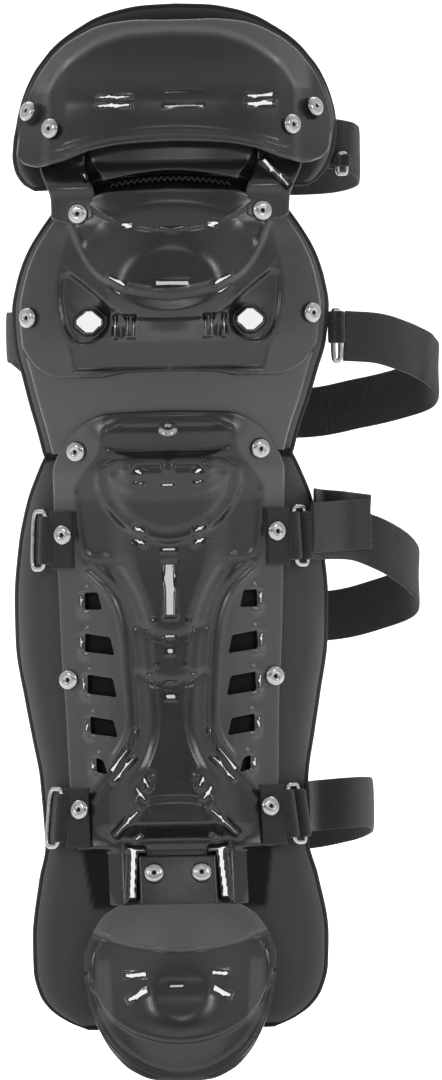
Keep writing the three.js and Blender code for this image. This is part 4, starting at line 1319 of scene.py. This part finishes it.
def slot_cutter(vent, sign, material):
    """Prism through the plate with rounded corners, along the view from the front."""
    corners = np.array(vent_corners(vent), float)
    radius = 1.1
    t = np.linspace(0, 1, 5)[:, None]
    run = []
    for before, here, after in zip(np.roll(corners, 1, 0), corners, np.roll(corners, -1, 0)):
        a = here + unit(before - here) * radius
        b = here + unit(after - here) * radius
        run.append((1 - t) ** 2 * a + 2 * t * (1 - t) * here + t**2 * b)
    flat = np.concatenate(run)
    x = sign * flat[:, 0] + leg_drift((vent[2] + vent[3]) / 2)
    near = np.stack([x, np.full(len(x), -60.0), flat[:, 1]], 1)
    far = near + np.array([0, 120, 0])
    faces = grid_faces(2, len(x), wrap_columns=True)
    return close_ends(mesh_object("vent_cutter", np.concatenate([near, far]), faces, material))


def cut(made, cutters):
    """Cuts the cutters out of a piece and removes them."""
    for cutter in cutters:
        modifier = made.modifiers.new("cut", "BOOLEAN")
        modifier.operation = "DIFFERENCE"
        modifier.solver = "MANIFOLD"
        modifier.object = cutter
        bpy.context.view_layer.objects.active = made
        with bpy.context.temp_override(object=made, active_object=made):
            bpy.ops.object.modifier_apply(modifier="cut")
        bpy.data.objects.remove(cutter)


class GUARD_OT_shin(bpy.types.Operator):
    """Build the shin plate with its ridge and cut the vent slots"""

    bl_idname = "guard.shin"
    bl_label = "Shin plate"

    def execute(self, context):
        gloss = paints()["gloss"]
        # The mark grain gives the plate its painted sheen
        plate = shell_mesh("shin_plate_moulding", SHIN_PLATE, shin_plate_under, PLATE, 0.8,
                           gloss, (114, 246), land=polished(SHIN_FLATS, t_rib_share),
                           grain=shin_painted_sheen)
        cut(plate, [slot_cutter(vent, sign, gloss) for vent in VENTS for sign in (-1, 1)])
        finish_piece(plate, "gloss_plastic", "shin_plate")
        return {"FINISHED"}


class GUARD_OT_foot(bpy.types.Operator):
    """Build the foot dome and the tab that it hangs from"""

    bl_idname = "guard.foot"
    bl_label = "Foot plate"

    def execute(self, context):
        dome = lands(foot_form, FOOT_FLATS)
        mould("foot_tab", FOOT_TAB, level(FOOT_TAB_SEAT), LINK, 0.8, (39, 31), "soft")
        # The mark grain gives the plate its painted sheen
        mould("foot_plate", FOOT_PLATE, lambda x, z: FOOT_SEAT + dome(x, z), PLATE, 0.65,
              (95, 86), land=polished(FOOT_FLATS), grain=foot_painted_sheen)
        return {"FINISHED"}


# Hardware

# Columns: shares of the rivet's radius, height: a domed flange round a hollow eyelet
RIVET_PROFILE = np.array([
    (0.96, 0.0), (1.0, 0.25), (0.985, 0.7), (0.86, 1.5), (0.66, 2.05), (0.5, 2.2),
    (0.3, 2.15), (0.2, 1.6), (0.16, 1.3), (0.08, 1.2),
])
DIRT_RING = (0.59, 0.37, 0.05)


def rivet_mesh(name, node, material):
    """Turned head on its solid's flat back, whose centre and direction are worked out from
    that solid's points. It is tarnished at the foot and in the eyelet."""
    points = solid_points(node)
    middle = points.mean(0)
    spread = np.linalg.svd(points - middle)[2]
    axis = -spread[2] if spread[2][1] > 0 else spread[2]
    base = middle + axis * ((points - middle) @ axis).min()
    side = unit(spread[0] - axis * (spread[0] @ axis))
    share, height = RIVET_PROFILE.T
    count = 28
    made = round_mesh(name, base + height[:, None] * axis, side, np.cross(axis, side),
                      RIVET_RADIUS * share, count, material)
    clean, reach, fade = DIRT_RING
    mark(made, "dirt", np.repeat(past(np.abs(share - clean), reach, fade), count))
    return made


def wire_frame(node):
    """Middle, side and up directions, and half sizes to the wire's centre line, of a ring
    solid, from its points."""
    points = solid_points(node)
    middle = (points.min(0) + points.max(0)) / 2
    spread = np.linalg.svd(points - points.mean(0))[2]
    up = spread[0] * np.sign(spread[0][2])
    side = spread[1] * np.sign(spread[1][0])
    tall = np.abs((points - middle) @ up).max() - WIRE
    wide = np.abs((points - middle) @ side).max() - WIRE
    return middle, side, up, wide, tall


def wire_mesh(name, node, material):
    """Round wire bent to a rounded rectangle, fitted to its solid."""
    middle, side, up, wide, tall = wire_frame(node)
    turn = np.linspace(0, 2 * np.pi, 96, endpoint=False)
    squareness = 0.42
    across, along = (
        np.sign(share) * np.abs(share) ** squareness for share in (np.cos(turn), np.sin(turn))
    )
    path = middle + (across * wide)[:, None] * side + (along * tall)[:, None] * up
    travel = unit(np.roll(path, -1, 0) - np.roll(path, 1, 0))
    out = unit(np.cross(travel, WIRE_GUIDE))
    return round_mesh(name, path, out, np.cross(out, travel), WIRE * 0.8, 14, material,
                      closed=True)


def sleeve_mesh(name, start, end, radius, material):
    """Webbing turned round a wire: a cylinder with rounded ends. UV is millimetres along
    and round it."""
    length = np.linalg.norm(end - start)
    along = (end - start) / length
    side = unit(np.cross(along, [0.0, -1.0, 0.0]))
    t = np.concatenate([[0, 0.2, 0.7], np.linspace(1.5, length - 1.5, 16),
                        [length - 0.7, length - 0.2, length]])
    near = np.clip(np.minimum(t, length - t) / 1.2, 0, 1)
    swell = WIRE + (radius - WIRE) * np.sqrt(1 - (1 - near) ** 2)
    count = 24
    turn = np.linspace(0, 2 * np.pi, count, endpoint=False)
    uv = np.stack(np.broadcast_arrays(t[:, None], (radius * turn)[None]), -1)
    return round_mesh(name, start + t[:, None] * along, side, np.cross(side, along), swell,
                      count, material, uv)


class GUARD_OT_rivets(bpy.types.Operator):
    """Build the nickel rivets and the wire rings and keepers"""

    bl_idname = "guard.rivets"
    bl_label = "Rivets and rings"

    def execute(self, context):
        paint = paints()
        for node in sorted(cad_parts):
            if node.startswith("rivet"):
                made = rivet_mesh(node + "_head", node, paint["nickel"])
                finish_piece(made, "nickel", node)
            elif node.startswith(("ring_upper", "ring_lower", "keeper")):
                made = wire_mesh(node + "_wire", node, paint["nickel"])
                finish_piece(made, "nickel", node)
                self.wrap(node, paint["webbing"])
        return {"FINISHED"}

    def wrap(self, node, material):
        """Turns webbing round the upright bars: both on the strap side, the inner one on
        the other. On a keeper the lower end stays free."""
        middle, side, up, wide, tall = wire_frame(node)
        bars = {"inner": -1, "outer": 1} if node.endswith("right") else {"inner": 1}
        low, high, radius = -0.84, 0.84, WIRE + WEBBING
        if node.startswith("keeper"):
            low, high, radius = -0.3, 0.96, WIRE + 1.0
        for where, bar in bars.items():
            at = middle + side * wide * bar
            made = sleeve_mesh(node + "_wrap_" + where, at + up * tall * low,
                               at + up * tall * high, radius, material)
            finish_piece(made, "webbing")


# Straps

# Columns: x, depth, z, distance off the leg form where the depth is None
STRAP_ROUTES = {
    "strap_thigh": [
        (58, None, 79, -2.8), (70, None, 79, -2.8), (80.5, 41.5, 78.9), (88, 46, 78),
        (93.5, 50.5, 76.5), (96.4, 59, 73.8), (94, 74, 70.5), (80, 96, 68.5), (50, 114, 69),
        (0, 124, 71), (-50, 112, 74), (-68, 84, 75), (-71, 62, 76),
        (-71, 46, 76), (-66, None, 76, -3.2), (-53, None, 76, -3),
    ],
    "strap_knee": [
        (87.3, 35, -18.7), (104, 43, -20), (116, 51, -23.5), (125, 60, -27.2), (131, 67, -31),
        (134.6, 77, -36.5), (130, 90, -42.5), (117, 98, -47), (96, 106, -51.5), (62, 114, -56),
        (0, 122, -50), (-58, 106, -32), (-76, 82, -20), (-81.6, 60, -16), (-82.2, 50, -16),
        (-76, None, -16, -2.8), (-62, None, -16, -2.8),
    ],
    "strap_calf": [
        (71.4, None, -118.5, 12.8), (76, None, -118.5, 12), (91, 38, -119.5), (107, 48, -126),
        (118, 59, -134), (122.4, 71, -142), (118, 84, -149), (104, 93, -154.5), (80, 100, -160),
        (40, 110, -161), (0, 112, -154), (-50, 98, -138), (-73, 68, -127), (-76, 50, -122),
        (-72, None, -121, -2.8), (-58, None, -121, -2.8),
    ],
    "strap_ankle": [
        (66.4, None, -255, 11.6), (71, None, -255, 11.6), (84, 29, -254), (93, 38, -254),
        (97, 52, -255.3), (95, 68, -258.5), (83, 82, -263), (56, 92, -267), (0, 98, -266),
        (-44, 86, -262), (-64, 58, -258), (-65, 42, -257), (-61, None, -257, -2.8),
        (-50, None, -257, -2.8),
    ],
}
STRAP_ENDS = {
    "calf_tail": [
        (71.5, None, -115, 15.4), (76, None, -115, 14.8), (84, 29.4, -114.4), (91, 34.5, -114),
        (98.6, 40, -113.6),
    ],
    "calf_tail_under": [
        (73, None, -108, 10.6), (77, None, -108.6, 10.4), (84, 36, -109.6), (91, 41.5, -110.6),
        (98, 46, -111.6),
    ],
}
# Columns: name, inner edge, outer edge, middle height, half height
RING_TABS = (("upper", 49, 60, -119, 14.5), ("lower", 43, 55, -258, 15))
TAB_SEAT = PAD + 2 * GAP + PLATE + 0.6
TAB_RIM = (0.0, 0.1, 0.3, 0.6, 0.9)
STRAP_STEPS = 420
KNEE_SEAM_STEP = 150


def route_points(rows):
    """Rows with no depth lie on the leg form at their fourth value."""
    return np.array([
        layer(row[0], row[2], row[3]) if row[1] is None else row for row in rows
    ], float)


def tape_turn(along):
    """Directions across and out of a tape that travels along a path, kept near upright."""
    up = unit(np.array([0.0, 0.0, 1.0]) - along * along[..., 2:3])
    return up, np.cross(along, up)


def ribbon_mesh(name, path, length, material):
    """Tape carried along a path: a flat oval section with a slight dish and thin selvedges.
    UV is millimetres across and along."""
    up, out = tape_turn(unit(np.gradient(path, axis=0)))
    w = np.linspace(-1, 1, 25)
    half = WEBBING / 2 * (1 - 0.45 * np.abs(w) ** 6)
    lift = 0.25 * (1 - w * w)
    across = np.concatenate([w, w[::-1]]) * WEBBING_WIDTH / 2
    height = np.concatenate([lift + half, (lift - half)[::-1]])
    points = path[:, None] + up[:, None] * across[:, None] + out[:, None] * height[:, None]
    uv = grid_uv(across + WEBBING_WIDTH / 2, np.linspace(0, length, len(path)))
    faces = grid_faces(len(path), len(across), wrap_columns=True, flip=True)
    return close_ends(mesh_object(name, points, faces, material, uv))


def cross_seam(name, path, material):
    """Two rows of stitches across a strap, on both its faces."""
    along = unit(path[4] - path[0])
    up, out = tape_turn(along)
    reach = (WEBBING_WIDTH - 3) / 2
    t = np.linspace(-reach, reach, 12)
    stitch = 0.7 * (t[1] - t[0])
    starts = np.concatenate([
        path[2] + along * row + out * (face * (WEBBING / 2 + 0.1) + 0.2) + up * t[:-1, None]
        for row in (-1.6, 1.6) for face in (-1, 1)
    ])
    lifts = np.broadcast_to(out, starts.shape)
    return stitch_mesh(name, starts, starts + up * stitch, lifts, 0.3, material)


class GUARD_OT_straps(bpy.types.Operator):
    """Build the elastic straps and the webbing tabs that hold the rings"""

    bl_idname = "guard.straps"
    bl_label = "Straps and tabs"

    def execute(self, context):
        paint = paints()
        for name, rows in STRAP_ROUTES.items():
            path, length = even_path(route_points(rows), STRAP_STEPS)
            strap = ribbon_mesh(name + "_webbing", path, length, paint["webbing"])
            finish_piece(strap, "webbing", name)
        for name, rows in STRAP_ENDS.items():
            path, length = even_path(route_points(rows), 60)
            finish_piece(ribbon_mesh(name, path, length, paint["webbing"]), "webbing")
        path, _ = even_path(route_points(STRAP_ROUTES["strap_knee"]), STRAP_STEPS)
        finish_piece(cross_seam("knee_seam", path[KNEE_SEAM_STEP:], paint["thread"]), "webbing")
        for name, inner, outer, z, half in RING_TABS:
            for where, sign in (("left", -1), ("right", 1)):
                node = "ring_tab_" + name + "_" + where
                outline = Outline(level((outer - inner) / 2), level(z + half), level(z - half),
                                  centre=level(sign * (outer + inner) / 2), bow=0.1)
                tab = shell_mesh(node + "_webbing", outline, level(TAB_SEAT), WEBBING, 0.8,
                                 paint["webbing"], (11, 30), rim=TAB_RIM)
                finish_piece(tab, "webbing", node)
        return {"FINISHED"}


# Stage


class GUARD_OT_stage(bpy.types.Operator):
    """Build the pale floor and backdrop, the studio lights and the camera"""

    bl_idname = "guard.stage"
    bl_label = "Stage and camera"

    def execute(self, context):
        self.backdrop()
        self.lights()
        self.camera()
        return {"FINISHED"}

    def backdrop(self):
        """Floor that sweeps up behind the guard along a quarter circle."""
        floor, front, back, radius, height, half = -0.47, -6.0, 7.0, 2.0, 7.0, 9.0
        turn = np.linspace(0, np.pi / 2, 24)
        y = np.concatenate([[front], back - radius + radius * np.sin(turn), [back]])
        z = np.concatenate([[floor], floor + radius - radius * np.cos(turn), [height]])
        x = np.linspace(-half, half, 3)
        points = np.stack(np.broadcast_arrays(x[None], y[:, None], z[:, None]), -1) / MM
        sweep = mesh_object("studio_sweep", points, grid_faces(len(y), len(x)),
                            stage_surface("pale_studio_paper", (0.93, 0.93, 0.93)))
        sweep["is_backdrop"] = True

    def lights(self):
        """A white surround that is dimmer behind the camera, a soft box at each side and one
        in the middle, whose images the polished lands show, and one for the backdrop."""
        world = bpy.data.worlds.new("studio_air")
        bpy.context.scene.world = world
        world.use_nodes = True
        tree = world.node_tree
        tree.nodes["Background"].inputs[0].default_value = (1, 1, 1, 1)
        coords = tree.nodes.new("ShaderNodeTexCoord")
        split = tree.nodes.new("ShaderNodeSeparateXYZ")
        tree.links.new(coords.outputs["Generated"], split.inputs[0])
        fade = tree.nodes.new("ShaderNodeMapRange")
        fade.interpolation_type = "SMOOTHSTEP"
        for key, value in zip(RANGE_SOCKETS, (-1.0, -0.2, 0.28, 1.0)):
            fade.inputs[key].default_value = value
        tree.links.new(split.outputs["Y"], fade.inputs["Value"])
        tree.links.new(fade.outputs[0], tree.nodes["Background"].inputs[1])
        bpy.context.scene.view_settings.view_transform = "Standard"
        aim = Vector((0.0, 0.0, -0.12))
        # Columns: name, side angle, rise angle, distance, size, watts
        for name, turn, rise, far, size, watts in (
            ("left_box", -36, 20, 2.0, (0.24, 0.34), 5.5),
            ("right_box", 36, 20, 2.0, (0.24, 0.34), 5.5),
            ("front_box", 2, 24, 3.0, (0.4, 0.26), 4.5),
        ):
            a, e = math.radians(turn), math.radians(rise)
            off = far * Vector(
                (math.sin(a) * math.cos(e), -math.cos(a) * math.cos(e), math.sin(e))
            )
            facing = (-off).to_track_quat("-Z", "Y").to_euler()
            self.box(name, size, watts, aim + off, facing)
        self.box("backdrop_box", (2.4, 0.5), 90, (0, 0.55, 1.5), (math.radians(62), 0, 0))

    def box(self, name, size, watts, location, turn):
        """One rectangular area light."""
        data = bpy.data.lights.new(name, "AREA")
        data.shape = "RECTANGLE"
        data.size, data.size_y = size
        data.energy = watts
        light = bpy.data.objects.new(name, data)
        bpy.context.scene.collection.objects.link(light)
        light.location, light.rotation_euler = location, turn

    def camera(self):
        """Level view along +Y, framed so that the photo's pixels map to the front plane."""
        data = bpy.data.cameras.new("camera")
        data.sensor_fit = "VERTICAL"
        data.sensor_height = 24.0
        frame_height = PHOTO_HEIGHT * MM_PER_PIXEL * MM
        data.lens = data.sensor_height * CAMERA_DISTANCE / frame_height
        camera = bpy.data.objects.new("camera", data)
        bpy.context.scene.collection.objects.link(camera)
        dx = (PHOTO_WIDTH / 2 - ORIGIN_PIXEL[0]) * MM_PER_PIXEL * MM
        dz = (ORIGIN_PIXEL[1] - PHOTO_HEIGHT / 2) * MM_PER_PIXEL * MM
        c, s = math.cos(CAMERA_ROLL), math.sin(CAMERA_ROLL)
        camera.location = (dx * c + dz * s, -CAMERA_DISTANCE, -dx * s + dz * c)
        camera.rotation_euler = (math.pi / 2, CAMERA_ROLL, 0)
        bpy.context.scene.camera = camera


class GUARD_PT_panel(bpy.types.Panel):
    """Lists the guard's settings and builders"""

    bl_label = "Leg guard"
    bl_idname = "GUARD_PT_panel"
    bl_space_type = "VIEW_3D"
    bl_region_type = "UI"
    bl_category = "Leg guard"

    def draw(self, context):
        for group in (context.scene.guard_finish, context.scene.guard_detail):
            for name in group.__annotations__:
                self.layout.prop(group, name)
        for operator in OPERATORS:
            self.layout.operator(operator.bl_idname)


OPERATORS = (
    GUARD_OT_stage,
    GUARD_OT_pads,
    GUARD_OT_thigh,
    GUARD_OT_knee,
    GUARD_OT_shin,
    GUARD_OT_foot,
    GUARD_OT_rivets,
    GUARD_OT_straps,
)
CLASSES = (FinishSettings, DetailSettings, *OPERATORS, GUARD_PT_panel)


def register():
    for cls in CLASSES:
        bpy.utils.register_class(cls)
    bpy.types.Scene.guard_finish = PointerProperty(type=FinishSettings)
    bpy.types.Scene.guard_detail = PointerProperty(type=DetailSettings)


def unregister():
    del bpy.types.Scene.guard_detail
    del bpy.types.Scene.guard_finish
    for cls in reversed(CLASSES):
        bpy.utils.unregister_class(cls)


def main():
    register()
    bpy.ops.guard.stage()
    bpy.ops.guard.pads()
    bpy.ops.guard.thigh()
    bpy.ops.guard.knee()
    bpy.ops.guard.shin()
    bpy.ops.guard.foot()
    bpy.ops.guard.rivets()
    bpy.ops.guard.straps()
    boxes = {"cad": CAD_BOX, "visual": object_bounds()}
    plain = {name: [list(map(float, corner)) for corner in box] for name, box in boxes.items()}


if __name__ == "__main__":
    main()
